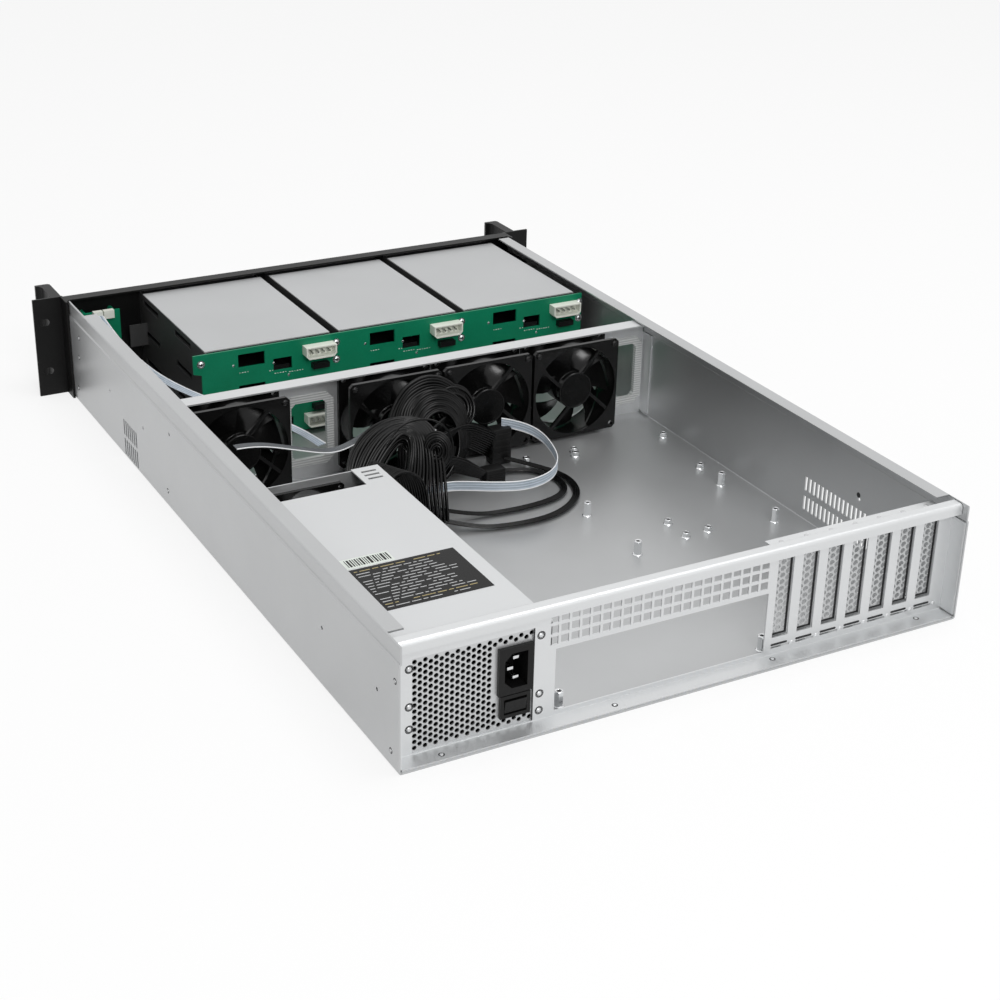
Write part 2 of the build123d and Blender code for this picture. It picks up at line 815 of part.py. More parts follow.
# Black sockets: a data socket under each power socket, and one drive socket per bay on the far side.
data_socket_drop = 12.0
with BuildPart() as data_sockets:
    with BuildSketch(across(backplane_rear + data_socket_depth)):
        for left in column_lefts:
            with Locations(
                (left - power_socket_from_left - 1, power_socket_zs[0] - data_socket_drop),
                (left - power_socket_from_left - 1, power_socket_zs[1] + data_socket_drop),
            ):
                Rectangle(data_socket_width, data_socket_height)
    extrude(amount=data_socket_depth)
    with BuildSketch(across(backplane_front)):
        for left in column_lefts:
            for floor_z in bay_floors:
                with Locations((left - column_width / 2, floor_z + drive_socket_height)):
                    Rectangle(drive_socket_width, drive_socket_height)
    extrude(amount=drive_socket_depth)
finish(data_sockets, "data_sockets")


def make_tray(left, floor_z, tray_label, lever_label):
    """One drive tray with its bezel, and the lever hinged to the left end of the bezel."""
    centre_x = left - column_width / 2
    inner_half = column_width / 2 - cage_sheet
    outer = inner_half - guide_reach - tray_gap
    lip_half = inner_half - tray_gap
    bottom = floor_z + tray_gap
    lip_z = floor_z + guide_height + tray_gap
    bezel_front = front_face - bezel_proud
    tray_front = bezel_front + bezel_depth
    bezel_width = 2 * (inner_half - bezel_side_gap)
    bezel_z = floor_z + bay_pitch / 2
    lever_z = bezel_z + 3.5
    hinge_x = centre_x + bezel_width / 2 - hinge_from_side
    hinge_y = bezel_front + lever_clearance + hinge_barrel_radius
    recess_right = hinge_x - lever_length - lever_end_gap
    recess_left = hinge_x + hinge_barrel_radius + lever_end_gap
    recess_height = lever_height + 2 * lever_clearance
    hinge_bore_radius = (hinge_pin_radius + hinge_clearance) / cos(pi / hinge_flats)
    with BuildPart() as tray:
        with BuildSketch(across(tray_front + tray_length)):
            with BuildLine():
                Polyline(
                    (centre_x - lip_half, lip_z + tray_sheet),
                    (centre_x - lip_half, lip_z),
                    (centre_x - outer, lip_z),
                    (centre_x - outer, bottom),
                    (centre_x + outer, bottom),
                    (centre_x + outer, lip_z),
                    (centre_x + lip_half, lip_z),
                    (centre_x + lip_half, lip_z + tray_sheet),
                    (centre_x + outer - tray_sheet, lip_z + tray_sheet),
                    (centre_x + outer - tray_sheet, bottom + tray_sheet),
                    (centre_x - outer + tray_sheet, bottom + tray_sheet),
                    (centre_x - outer + tray_sheet, lip_z + tray_sheet),
                    close=True,
                )
            make_face()
        extrude(amount=tray_length)
        with BuildSketch(across(tray_front)):
            with Locations((centre_x, bezel_z)):
                Rectangle(bezel_width, bezel_height)
        extrude(amount=bezel_depth)
        with BuildSketch(across(bezel_front + lever_recess_depth)):
            with Locations(((recess_left + recess_right) / 2, lever_z)):
                Rectangle(recess_left - recess_right, recess_height)
        extrude(amount=2 * lever_recess_depth, mode=Mode.SUBTRACT)
        with BuildSketch(across(tray_front + tray_sheet)):
            with Locations((centre_x, bezel_z - bezel_height / 2 + 4.5)):
                with GridLocations(bezel_vent_length + 10, 0, 2, 1):
                    Rectangle(bezel_vent_length, bezel_vent_height)
        extrude(amount=2 * bezel_depth, mode=Mode.SUBTRACT)
        with BuildSketch(Plane.XY.offset(lever_z - recess_height / 2 - 1)):
            with Locations((hinge_x, hinge_y)):
                Circle(hinge_pin_radius)
        extrude(amount=recess_height + 2)
    finish(tray, tray_label)

    with BuildPart() as lever:
        with BuildSketch(Plane.XY.offset(lever_z - lever_height / 2)):
            with Locations((hinge_x - lever_length / 2, hinge_y - hinge_barrel_radius + lever_sheet / 2)):
                Rectangle(lever_length, lever_sheet)
            with Locations((hinge_x, hinge_y)):
                RegularPolygon(hinge_barrel_radius, 8, rotation=22.5)
                RegularPolygon(hinge_bore_radius, hinge_flats, mode=Mode.SUBTRACT)
        extrude(amount=lever_height)
        finger_cut = 10.0
        with BuildSketch(across(hinge_y + hinge_barrel_radius)):
            with Locations((hinge_x - lever_length, lever_z)):
                RegularPolygon(finger_cut / 2, 6)
        extrude(amount=3 * hinge_barrel_radius, mode=Mode.SUBTRACT)
    finish(lever, lever_label)


bay = 0
for left in column_lefts:
    for floor_z in bay_floors:
        bay += 1
        make_tray(left, floor_z, f"tray_{bay}", f"tray_lever_{bay}")

# The control board stands behind the front panel, on four pillars, with white sockets on its top edge.
board_front = front_back + control_setback - board_thickness
board_rear = front_back + control_setback
pillar_radius = 2.5
with BuildPart() as control_board:
    with BuildSketch(across(board_rear)):
        with Locations((control_x, control_bottom + control_height / 2)):
            Rectangle(control_width, control_height)
    extrude(amount=board_thickness)
    with BuildSketch(across(board_front)):
        for z in (control_bottom + 4, control_bottom + control_height - 4):
            with Locations((control_x + control_width / 2 - 4, z), (control_x - control_width / 2 + 4, z)):
                RegularPolygon(pillar_radius, 6)
    extrude(amount=board_front - front_back)
finish(control_board, "control_board")

socket_row = ((-6.0, 9.0), (3.5, 8.0))
with BuildPart() as control_sockets:
    for shift, width in socket_row:
        with BuildSketch(across(board_rear + 5)):
            with Locations((control_x + shift, control_bottom + control_height - 2)):
                Rectangle(width, 7)
        extrude(amount=5)
finish(control_sockets, "control_sockets")

# Two round buttons come through the front panel, each on a stem that ends just off its switch.
button_travel = 1.5
button_proud = 2.0


def make_button(z, radius, label):
    """A round button with a wider collar behind the panel, so that it can't fall out."""
    head_front = front_face - button_proud
    with BuildPart() as button:
        with BuildSketch(across(front_back + button_clearance)):
            with Locations((control_x, z)):
                RegularPolygon(radius, button_sides)
        extrude(amount=front_back + button_clearance - head_front)
        with BuildSketch(across(front_back + button_clearance + 2)):
            with Locations((control_x, z)):
                RegularPolygon(radius + button_collar, 8)
        extrude(amount=2)
        with BuildSketch(across(board_front - button_travel - button_clearance)):
            with Locations((control_x, z)):
                RegularPolygon(radius / 2, 6)
        extrude(amount=board_front - button_travel - button_clearance - front_back - 1)
    finish(button, label)


make_button(power_button_z, button_radius, "power_button")
make_button(reset_button_z, reset_button_radius, "reset_button")

# The power supply's case is a folded box with an open top. Its rear face is full of round holes.
psu_centre_x = (psu_left + psu_right) / 2
psu_centre_y = (psu_front + psu_rear) / 2
psu_fan_z = floor_top + psu_height / 2 - 1.5
psu_fan_x = psu_left - psu_fan_size / 2 - 12
psu_fan_front = psu_front + psu_sheet
vent_left = psu_left - psu_opening_left - 1.5
vent_columns = 5
vent_rows_up = 6
cable_hole_radius = 13.0
cable_hole_z = 34.0
cable_hole_x = psu_right + cable_hole_radius + 1.5
with BuildPart() as psu_case:
    with BuildSketch(Plane.XY.offset(floor_top)):
        with Locations((psu_centre_x, psu_centre_y)):
            Rectangle(psu_width, psu_length)
    extrude(amount=psu_height - psu_sheet)
    with BuildSketch(Plane.XY.offset(floor_top + psu_sheet)):
        with Locations((psu_centre_x, psu_centre_y)):
            Rectangle(psu_width - 2 * psu_sheet, psu_length - 2 * psu_sheet)
    extrude(amount=psu_height, mode=Mode.SUBTRACT)
    with BuildSketch(across(psu_rear + psu_sheet)):
        for column in range(vent_columns):
            for row in range(vent_rows_up):
                x = vent_left - psu_vent_pitch * (column * cos(pi / 6) + 0.5)
                z = psu_opening_bottom + psu_vent_pitch * (row + 0.5 + 0.5 * (column % 2))
                if z < psu_opening_bottom + psu_opening_height - psu_vent_hole:
                    with Locations((x, z)):
                        RegularPolygon(psu_vent_hole, 6)
        with Locations((inlet_centre_x, inlet_centre_z)):
            Rectangle(inlet_width - 3, inlet_height - 3)
        with Locations((inlet_centre_x, switch_centre_z)):
            Rectangle(switch_width - 3, switch_height - 3)
    extrude(amount=3 * psu_sheet, mode=Mode.SUBTRACT)
    with BuildSketch(across(psu_front + 2 * psu_sheet)):
        with Locations((psu_fan_x, psu_fan_z)):
            RegularPolygon(psu_fan_bore, fan_bore_sides, rotation=180 / fan_bore_sides)
        with Locations((cable_hole_x, cable_hole_z)):
            RegularPolygon(cable_hole_radius, 12)
    extrude(amount=3 * psu_sheet, mode=Mode.SUBTRACT)
finish(psu_case, "psu_case")

# Its cover is a flat plate with a notch over the fan and a slotted strip beside the notch.
notch_width = psu_width - psu_strip_width
with BuildPart() as psu_cover:
    with BuildSketch(Plane.XY.offset(psu_top - psu_sheet)):
        with Locations((psu_centre_x, psu_centre_y)):
            Rectangle(psu_width, psu_length)
        with Locations((psu_left - notch_width / 2, psu_front + psu_notch_length / 2)):
            Rectangle(notch_width, psu_notch_length, mode=Mode.SUBTRACT)
        with Locations((psu_right + psu_strip_width / 2, psu_front + psu_notch_length / 2)):
            with GridLocations(0, 6, 1, psu_strip_slots):
                Rectangle(psu_strip_width * 0.55, 2.4, mode=Mode.SUBTRACT)
    extrude(amount=psu_sheet)
finish(psu_cover, "psu_cover")

# Inside it: a board on the floor with heat sinks, a transformer and capacitors.
psu_board_gap = 4.0
psu_board_top = floor_top + psu_sheet + psu_board_gap + board_thickness
psu_board_length = psu_length - fan_depth - 45
psu_board_y = psu_rear - 25 - psu_board_length / 2
psu_parts = (
    (22.0, -30.0, 6.0, 110.0, 45.0),
    (-26.0, -20.0, 6.0, 120.0, 42.0),
    (-2.0, 10.0, 32.0, 36.0, 30.0),
    (-2.0, -50.0, 24.0, 30.0, 34.0),
    (-4.0, 62.0, 26.0, 24.0, 38.0),
)
with BuildPart() as psu_board:
    with BuildSketch(Plane.XY.offset(psu_board_top - board_thickness)):
        with Locations((psu_centre_x, psu_board_y)):
            Rectangle(psu_width - 8, psu_board_length)
    extrude(amount=board_thickness)
    with BuildSketch(Plane.XY.offset(floor_top + psu_sheet)):
        with Locations((psu_centre_x, psu_board_y)):
            with GridLocations(psu_width - 18, psu_board_length - 12, 2, 2):
                RegularPolygon(3, 6)
    extrude(amount=psu_board_gap)
    for x, y, width, length, height in psu_parts:
        with BuildSketch(Plane.XY.offset(psu_board_top)):
            with Locations((psu_centre_x + x, psu_board_y + y)):
                Rectangle(width, length)
        extrude(amount=height)
finish(psu_board, "psu_board")

make_fan(
    psu_fan_x,
    psu_fan_z,
    psu_fan_front,
    psu_fan_size,
    psu_fan_bore,
    psu_fan_hub,
    fan_depth,
    "psu_fan_frame",
    "psu_fan_rotor",
)

# The mains inlet: a black moulding with a deep socket, cut off at two corners, and three blades in it.
socket_wide = inlet_width - 8
socket_tall = inlet_height - 8.5
socket_corner = 5.0
blade_wide = 2.0
blade_tall = 4.0
blade_pitch = 7.0
with BuildSketch() as socket_outline:
    Rectangle(socket_wide, socket_tall)
    chamfer(socket_outline.vertices().group_by(Axis.X)[-1], socket_corner)
with BuildPart() as psu_inlet:
    with BuildSketch(across(rear_face + inlet_rim)):
        with Locations((inlet_centre_x, inlet_centre_z)):
            Rectangle(inlet_width, inlet_height)
    extrude(amount=rear_face + inlet_rim - psu_rear)
    with BuildSketch(across(psu_rear)):
        with Locations((inlet_centre_x, inlet_centre_z)):
            Rectangle(inlet_width - 4, inlet_height - 4)
    extrude(amount=inlet_depth)
    with BuildSketch(across(rear_face + inlet_rim)):
        with Locations((inlet_centre_x, inlet_centre_z)):
            add(socket_outline.sketch)
    extrude(amount=inlet_depth - 4, mode=Mode.SUBTRACT)
    with BuildSketch(across(rear_face - 2)):
        with Locations((inlet_centre_x, inlet_centre_z)):
            with Locations((-1.5, blade_pitch), (2.5, 0), (-1.5, -blade_pitch)):
                Rectangle(blade_tall, blade_wide)
    extrude(amount=inlet_depth - 6)
    with BuildSketch(across(rear_face + inlet_rim)):
        with Locations((inlet_centre_x, switch_centre_z)):
            Rectangle(switch_width, switch_height)
            Rectangle(switch_width - 5, switch_height - 5, mode=Mode.SUBTRACT)
    extrude(amount=rear_face + inlet_rim - psu_rear)
finish(psu_inlet, "psu_inlet")

# The mains switch is a rocker that tips about a cross pin in the frame.
rocker_width = switch_width - 5 - 0.8
rocker_height = switch_height - 5 - 2.4
rocker_axis_y = rear_face - 1.0
with BuildPart() as psu_switch:
    with BuildSketch(Plane.YZ.offset(inlet_centre_x - rocker_width / 2)):
        with BuildLine():
            Polyline(
                (rocker_axis_y - 2.5, switch_centre_z - rocker_height / 2 + 1),
                (rocker_axis_y + 2.2, switch_centre_z - rocker_height / 2),
                (rocker_axis_y + 2.9, switch_centre_z),
                (rocker_axis_y + 3.6, switch_centre_z + rocker_height / 2),
                (rocker_axis_y - 2.5, switch_centre_z + rocker_height / 2 - 1),
                close=True,
            )
        make_face()
    extrude(amount=rocker_width)
finish(psu_switch, "psu_switch")

# Screws: two on each case fan, two per column of the backplane, and one on each slot cover's tab.
screw_head_radius = 2.3
board_screw_inset = 3.7
screw_head = 1.4
fan_rear = fan_wall_rear + fan_depth
fan_screw_z = fan_centre_z + fan_hole_pitch / 2
with BuildPart() as screws:
    with BuildSketch(across(fan_rear + screw_head)):
        for x in fan_centres:
            with Locations((x - fan_hole_pitch / 2, fan_screw_z), (x + fan_hole_pitch / 2, fan_screw_z)):
                RegularPolygon(screw_head_radius, 6)
    extrude(amount=screw_head)
    with BuildSketch(across(backplane_rear + screw_head)):
        for left in column_lefts:
            x = left - column_width - board_screw_inset
            with Locations((x, 60.9), (x, 75.7)):
                RegularPolygon(screw_head_radius, 6)
    extrude(amount=screw_head)
    with BuildSketch(Plane.XY.offset(ledge_z + panel_sheet)):
        for x in slot_xs:
            with Locations((x, cover_rear - cover_tab / 2)):
                RegularPolygon(screw_head_radius, 6)
    extrude(amount=screw_head)
finish(screws, "screws")


def bend_radii(points):
    """The largest fair radius at each inner point of a cable's route."""
    radii = []
    corners = [Vector(*p) for p in points]
    for before, corner, after in zip(corners, corners[1:], corners[2:]):
        turn = radians((corner - before).get_angle(after - corner))
        shorter = min((corner - before).length, (after - corner).length)
        radii.append(0.45 * shorter / tan(turn / 2))
    return radii


def make_cable(label, points, section):
    """Sweep a section along straight runs joined by arcs, and print the arcs' radii."""
    radii = bend_radii(points)
    with BuildPart() as cable:
        with BuildLine() as route:
            FilletPolyline(*points, radius=radii)
        start = Vector(*points[0])
        heading = Vector(*points[1]) - start
        across_route = heading.cross(Vector(0, 0, 1)).normalized()
        with BuildSketch(Plane(origin=start, x_dir=across_route, z_dir=heading)) as face:
            section()
        sweep()
    area = face.sketch.area
    length = route.wires()[0].length
    print(label, "radii", [round(r) for r in radii], "length", round(length), "fill", round(
        cable.part.volume / (area * length), 3))
    finish(cable, label)


def wire_bundle():
    Rectangle(wire_bundle_wide, wire_bundle_thick)


def floor_cable():
    Rectangle(floor_cable_wide, floor_cable_thick)


def upright_ribbon():
    Rectangle(ribbon_thickness, ribbon_width)


def flat_ribbon():
    Rectangle(ribbon_width, ribbon_thickness)


# The wires of the power supply leave it in one broad bundle, which arches over to the floor.
trunk_route = [
    (117.5, 57.5, 34.0),
    (110.0, 34.0, 42.0),
    (92.0, 10.0, 55.0),
    (66.0, -6.0, 61.0),
    (42.0, -8.0, 53.0),
    (27.0, 4.0, 35.0),
    (27.0, 24.0, 19.7),
    (35.0, 42.0, 13.4),
]
make_cable("harness_trunk", trunk_route, wire_bundle)

# The rest of that bundle is folded up behind the fans as one upright coil.
hank_x = 4.0
hank_y = -32.0
hank_z = 39.5
hank_outer = 38.0
hank_eye = 9.0
hank_depth = 34.0
with BuildPart() as harness_hank:
    with BuildSketch(across(hank_y + hank_depth / 2)):
        with Locations((hank_x, hank_z)):
            RegularPolygon(hank_outer, 12)
            RegularPolygon(hank_eye, 6, mode=Mode.SUBTRACT)
    extrude(amount=hank_depth)
finish(harness_hank, "harness_hank")

# Two flat black cables leave the foot of the arch and lie on the floor in wide loops.
floor_route_1 = [
    (36.0, 40.0, 9.0),
    (18.0, 54.0, 3.6),
    (-9.0, 61.0, 3.6),
    (-38.0, 62.0, 3.6),
    (-68.0, 52.0, 3.6),
    (-88.0, 33.0, 3.6),
    (-91.0, 8.0, 3.6),
    (-78.0, -14.0, 3.6),
    (-53.0, -38.0, 8.0),
]
make_cable("floor_cable_1", floor_route_1, floor_cable)
floor_route_2 = [
    (28.0, 28.0, 12.0),
    (10.0, 38.0, 3.6),
    (-14.0, 44.5, 3.6),
    (-42.0, 45.0, 3.6),
    (-66.0, 36.0, 3.6),
    (-79.0, 17.0, 3.6),
    (-71.0, -4.0, 3.6),
    (-56.0, -17.0, 3.6),
    (-36.0, -10.0, 5.0),
]
make_cable("floor_cable_2", floor_route_2, floor_cable)

# A grey ribbon stands on edge in a loop above them, held up by the bundle and the plug.
loop_route = [
    (12.0, 33.0, 20.0),
    (-2.0, 47.0, 22.0),
    (-22.0, 55.0, 23.0),
    (-44.0, 51.0, 23.0),
    (-61.0, 36.0, 23.0),
    (-70.0, 13.0, 23.0),
    (-71.0, -12.0, 23.0),
    (-61.4, -40.0, 23.0),
]
make_cable("loop_ribbon", loop_route, upright_ribbon)

# A second ribbon crosses from the side wall to the coil.
panel_route = [
    (186.0, -9.7, 73.0),
    (164.0, -9.7, 72.0),
    (138.0, -9.7, 65.0),
    (112.0, -9.7, 70.5),
    (86.0, -9.7, 74.0),
    (60.0, -9.7, 73.0),
    (40.0, -9.7, 68.5),
    (20.0, -9.7, 58.0),
]
make_cable("panel_ribbon", panel_route, flat_ribbon)

# A third runs from the control board along the cage and through the window in the fan wall.
cage_route = [
    (191.5, -314.5, 74.0),
    (190.0, -286.0, 66.0),
    (184.0, -240.0, 58.0),
    (178.0, -190.0, 58.0),
    (156.0, -150.0, 52.0),
    (124.0, -122.0, 44.0),
    (102.0, -92.0, 40.0),
    (94.0, -64.0, 36.0),
]
make_cable("cage_ribbon", cage_route, flat_ribbon)

# Two black plugs on the ends of the bundle lie beside the coil.
main_plug = (-51.5, -42.0)
small_plug = (-31.5, -8.0)
with BuildPart() as harness_plugs:
    with BuildSketch(Plane.XY.offset(floor_top + tray_gap)):
        with Locations(main_plug):
            Rectangle(plug_wide, plug_deep)
    extrude(amount=plug_long)
    with BuildSketch(Plane.XY.offset(floor_top + tray_gap)):
        with Locations(small_plug):
            Rectangle(plug_wide, plug_deep)
    extrude(amount=plug_deep)
finish(harness_plugs, "harness_plugs")
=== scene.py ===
import math

import bmesh
import bpy
from mathutils import Matrix, Vector


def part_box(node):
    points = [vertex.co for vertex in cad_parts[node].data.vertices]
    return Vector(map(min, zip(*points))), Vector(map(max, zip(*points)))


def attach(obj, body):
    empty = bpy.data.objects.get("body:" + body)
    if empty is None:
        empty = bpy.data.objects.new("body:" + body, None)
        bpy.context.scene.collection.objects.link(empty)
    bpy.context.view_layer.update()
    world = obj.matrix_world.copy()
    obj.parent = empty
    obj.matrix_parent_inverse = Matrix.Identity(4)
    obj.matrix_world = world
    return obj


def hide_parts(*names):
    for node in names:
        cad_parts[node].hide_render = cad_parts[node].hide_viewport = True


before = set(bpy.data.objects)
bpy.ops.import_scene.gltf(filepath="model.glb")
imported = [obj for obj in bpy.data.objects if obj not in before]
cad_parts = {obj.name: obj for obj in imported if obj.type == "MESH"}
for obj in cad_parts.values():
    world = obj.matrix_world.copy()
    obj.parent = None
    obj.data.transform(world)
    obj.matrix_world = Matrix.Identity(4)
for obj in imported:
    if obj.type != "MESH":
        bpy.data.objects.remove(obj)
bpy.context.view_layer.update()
mm = 0.001

# The camera looks down into the open case from behind, on the power supply's side. The studio is a
# white floor under a pale sky, with one large lamp behind the case and a softer one above it.
eye = (0.6161, 1.1604, 0.6310)
look = (64.364, -1.306, 151.417)
camera = bpy.data.objects.new("camera", bpy.data.cameras.new("camera"))
camera.location = eye
camera.rotation_euler = [math.radians(angle) for angle in look]
camera.data.lens = 66.83
camera.data.shift_x = -0.0025
camera.data.shift_y = -0.0047
camera.data.clip_end = 50
bpy.context.scene.collection.objects.link(camera)
bpy.context.scene.camera = camera
bpy.context.scene.view_settings.view_transform = "Standard"


class Signal:
    """A node's output, which can be used in sums like a number."""

    def __init__(self, nodes, socket):
        self.nodes = nodes
        self.socket = socket

    def sum(self, operation, *values):
        return self.nodes.node("ShaderNodeMath", {"operation": operation}, values)

    def __add__(self, other):
        return self.sum("ADD", self, other)

    def __radd__(self, other):
        return self.sum("ADD", other, self)

    def __mul__(self, other):
        return self.sum("MULTIPLY", self, other)

    def __rmul__(self, other):
        return self.sum("MULTIPLY", other, self)


class Nodes:
    """A node tree. Its node method adds a node and gives back that node's output."""

    def __init__(self, tree):
        self.tree = tree

    def node(self, kind, settings=None, values=(), output=0):
        made = self.tree.nodes.new(kind)
        for key, value in (settings or {}).items():
            setattr(made, key, value)
        pairs = values.items() if isinstance(values, dict) else enumerate(values)
        for key, value in pairs:
            self.feed(made.inputs[key], value)
        return Signal(self, made.outputs[output])

    def feed(self, socket, value):
        """Link a signal to a socket, or set a plain value on it."""
        if isinstance(value, Signal):
            self.tree.links.new(value.socket, socket)
        else:
            socket.default_value = value


class Finish(Nodes):
    """A material in the making, with the nodes that its colour and texture come from."""

    def __init__(self, name):
        self.material = bpy.data.materials.new(name)
        self.material.use_nodes = True
        super().__init__(self.material.node_tree)
        self.shader = self.tree.nodes["Principled BSDF"]

    def surface(self, **values):
        """Feed the shader's own sockets, which are named with underscores for spaces."""
        for key, value in values.items():
            self.feed(self.shader.inputs[key.replace("_", " ")], value)

    def place(self):
        """Where a point lies in the case, in metres."""
        return self.node("ShaderNodeTexCoord", output="Object")

    def grain(self, scale, detail=2.0):
        """Noise from 0 to 1 over the surface. The scale is in features a metre."""
        values = {"Vector": self.place(), "Scale": scale, "Detail": detail}
        return self.node("ShaderNodeTexNoise", {}, values)

    def between(self, share, low, high):
        """A colour between two others, by share."""
        values = {0: share, 6: (*low, 1), 7: (*high, 1)}
        return self.node("ShaderNodeMix", {"data_type": "RGBA"}, values, output=2)

    def bump(self, height, strength, distance):
        """Relief from a height between 0 and 1. The distance is in metres."""
        values = {"Height": height, "Strength": strength, "Distance": distance}
        return self.node("ShaderNodeBump", {}, values)


world = bpy.data.worlds.new("studio")
world.use_nodes = True
sky = Nodes(world.node_tree)
background = sky.tree.nodes["Background"]
sky_fill = 0.5
straight = sky.node("ShaderNodeLightPath", output="Is Camera Ray")
mirrored = sky.node("ShaderNodeLightPath", output="Is Glossy Ray")
shown = straight.sum("MAXIMUM", straight, mirrored)
sky.feed(background.inputs["Color"], (1, 1, 1, 1))
sky.feed(background.inputs["Strength"], shown * (1.0 - sky_fill) + sky_fill)
bpy.context.scene.world = world


def lamp(name, at, size, watts):
    """A square lamp that points at the middle of the case."""
    made = bpy.data.objects.new(name, bpy.data.lights.new(name, "AREA"))
    made.data.size = size
    made.data.energy = watts
    made.location = at
    made.rotation_euler = Vector(at).to_track_quat("Z", "Y").to_euler()
    bpy.context.scene.collection.objects.link(made)


lamp("key", (0.5, 2.7, 1.9), 0.9, 38)
lamp("top", (-0.5, 0.2, 2.6), 1.4, 26)

floor_paper = Finish("studio_floor")
floor_paper.surface(Base_Color=(0.9, 0.9, 0.9, 1), Roughness=0.9)
glow = floor_paper.node("ShaderNodeEmission", {}, {"Color": (1, 1, 1, 1), "Strength": 1.0})
glow_share = 0.8
straight = floor_paper.node("ShaderNodeLightPath", output="Is Camera Ray")
mirrored = floor_paper.node("ShaderNodeLightPath", output="Is Glossy Ray")
matt = Signal(floor_paper, floor_paper.shader.outputs[0])
share = (straight + mirrored) * glow_share
mixed = floor_paper.node("ShaderNodeMixShader", {}, {0: share, 1: matt, 2: glow})
floor_paper.feed(floor_paper.tree.nodes["Material Output"].inputs["Surface"], mixed)
floor_mesh = bpy.data.meshes.new("floor")
reach = 12.0
floor_corners = [(-reach, -reach, 0), (reach, -reach, 0), (reach, reach, 0), (-reach, reach, 0)]
floor_mesh.from_pydata(floor_corners, [], [(0, 1, 2, 3)])
floor = bpy.data.objects.new("floor", floor_mesh)
floor_mesh.materials.append(floor_paper.material)
bpy.context.scene.collection.objects.link(floor)


# The shell is zinc-coated steel sheet, punched and folded. It is a satin grey with a faint cloudy
# bloom and fine grain. The floor, walls and lid flanges are one sheet.
def zinc(name, low, high, rough=0.4, metal=0.75):
    """Zinc-coated sheet whose grey wanders between two values."""
    steel = Finish(name)
    cloud = steel.grain(14, 3)
    speck = steel.grain(900, 2)
    share = cloud * 0.65 + speck * 0.35
    tint = (0.985, 1.0, 1.01)
    steel.surface(
        Base_Color=steel.between(share, [low * c for c in tint], [high * c for c in tint]),
        Roughness=speck * 0.16 + (rough - 0.08),
        Metallic=metal,
        Normal=steel.bump(speck, 0.12, 0.0002),
    )
    return steel


def dress(finish, *nodes):
    """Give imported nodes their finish."""
    for node in nodes:
        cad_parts[node].material_slots[0].material = finish.material


def corners(node):
    """A node's lowest and highest corner in millimetres."""
    return tuple(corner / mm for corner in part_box(node))


case_steel = zinc("case_steel", 0.45, 0.54, 0.36)
dress(case_steel, "base_tray")
case_low, case_high = corners("base_tray")


def upright(y):
    """Local X and Y become the case's X and Z at depth y, and local Z points to the front."""
    return Matrix.Translation((0, y, 0)) @ Matrix.Rotation(math.pi / 2, 4, "X")


def sideways(x):
    """Local X and Y become the case's Y and Z at x, and local Z points to the left."""
    turn = Matrix(((0, 0, 1, 0), (1, 0, 0, 0), (0, 1, 0, 0), (0, 0, 0, 1)))
    return Matrix.Translation((x, 0, 0)) @ turn


def level(z):
    """Local X and Y stay as they are, at height z."""
    return Matrix.Translation((0, 0, z))


def outwards(x, y, z):
    """A place on a face that looks to the rear, with local Z pointing out of it."""
    return upright(y) @ Matrix.Translation((x, z, 0)) @ Matrix.Rotation(math.pi, 4, "X")


def ring(x, y, radius, sides=16):
    """The corners of a round outline."""
    angles = [2 * math.pi * i / sides for i in range(sides)]
    return [(x + radius * math.cos(angle), y + radius * math.sin(angle)) for angle in angles]


def rectangle(x, y, width, height, cut=0.0):
    """The corners of a rectangle about its middle, with its corners cut or left square."""
    a, b = width / 2, height / 2
    if not cut:
        return [(x - a, y - b), (x + a, y - b), (x + a, y + b), (x - a, y + b)]
    return [
        (x - a + cut, y - b), (x + a - cut, y - b), (x + a, y - b + cut), (x + a, y + b - cut),
        (x + a - cut, y + b), (x - a + cut, y + b), (x - a, y + b - cut), (x - a, y - b + cut),
    ]


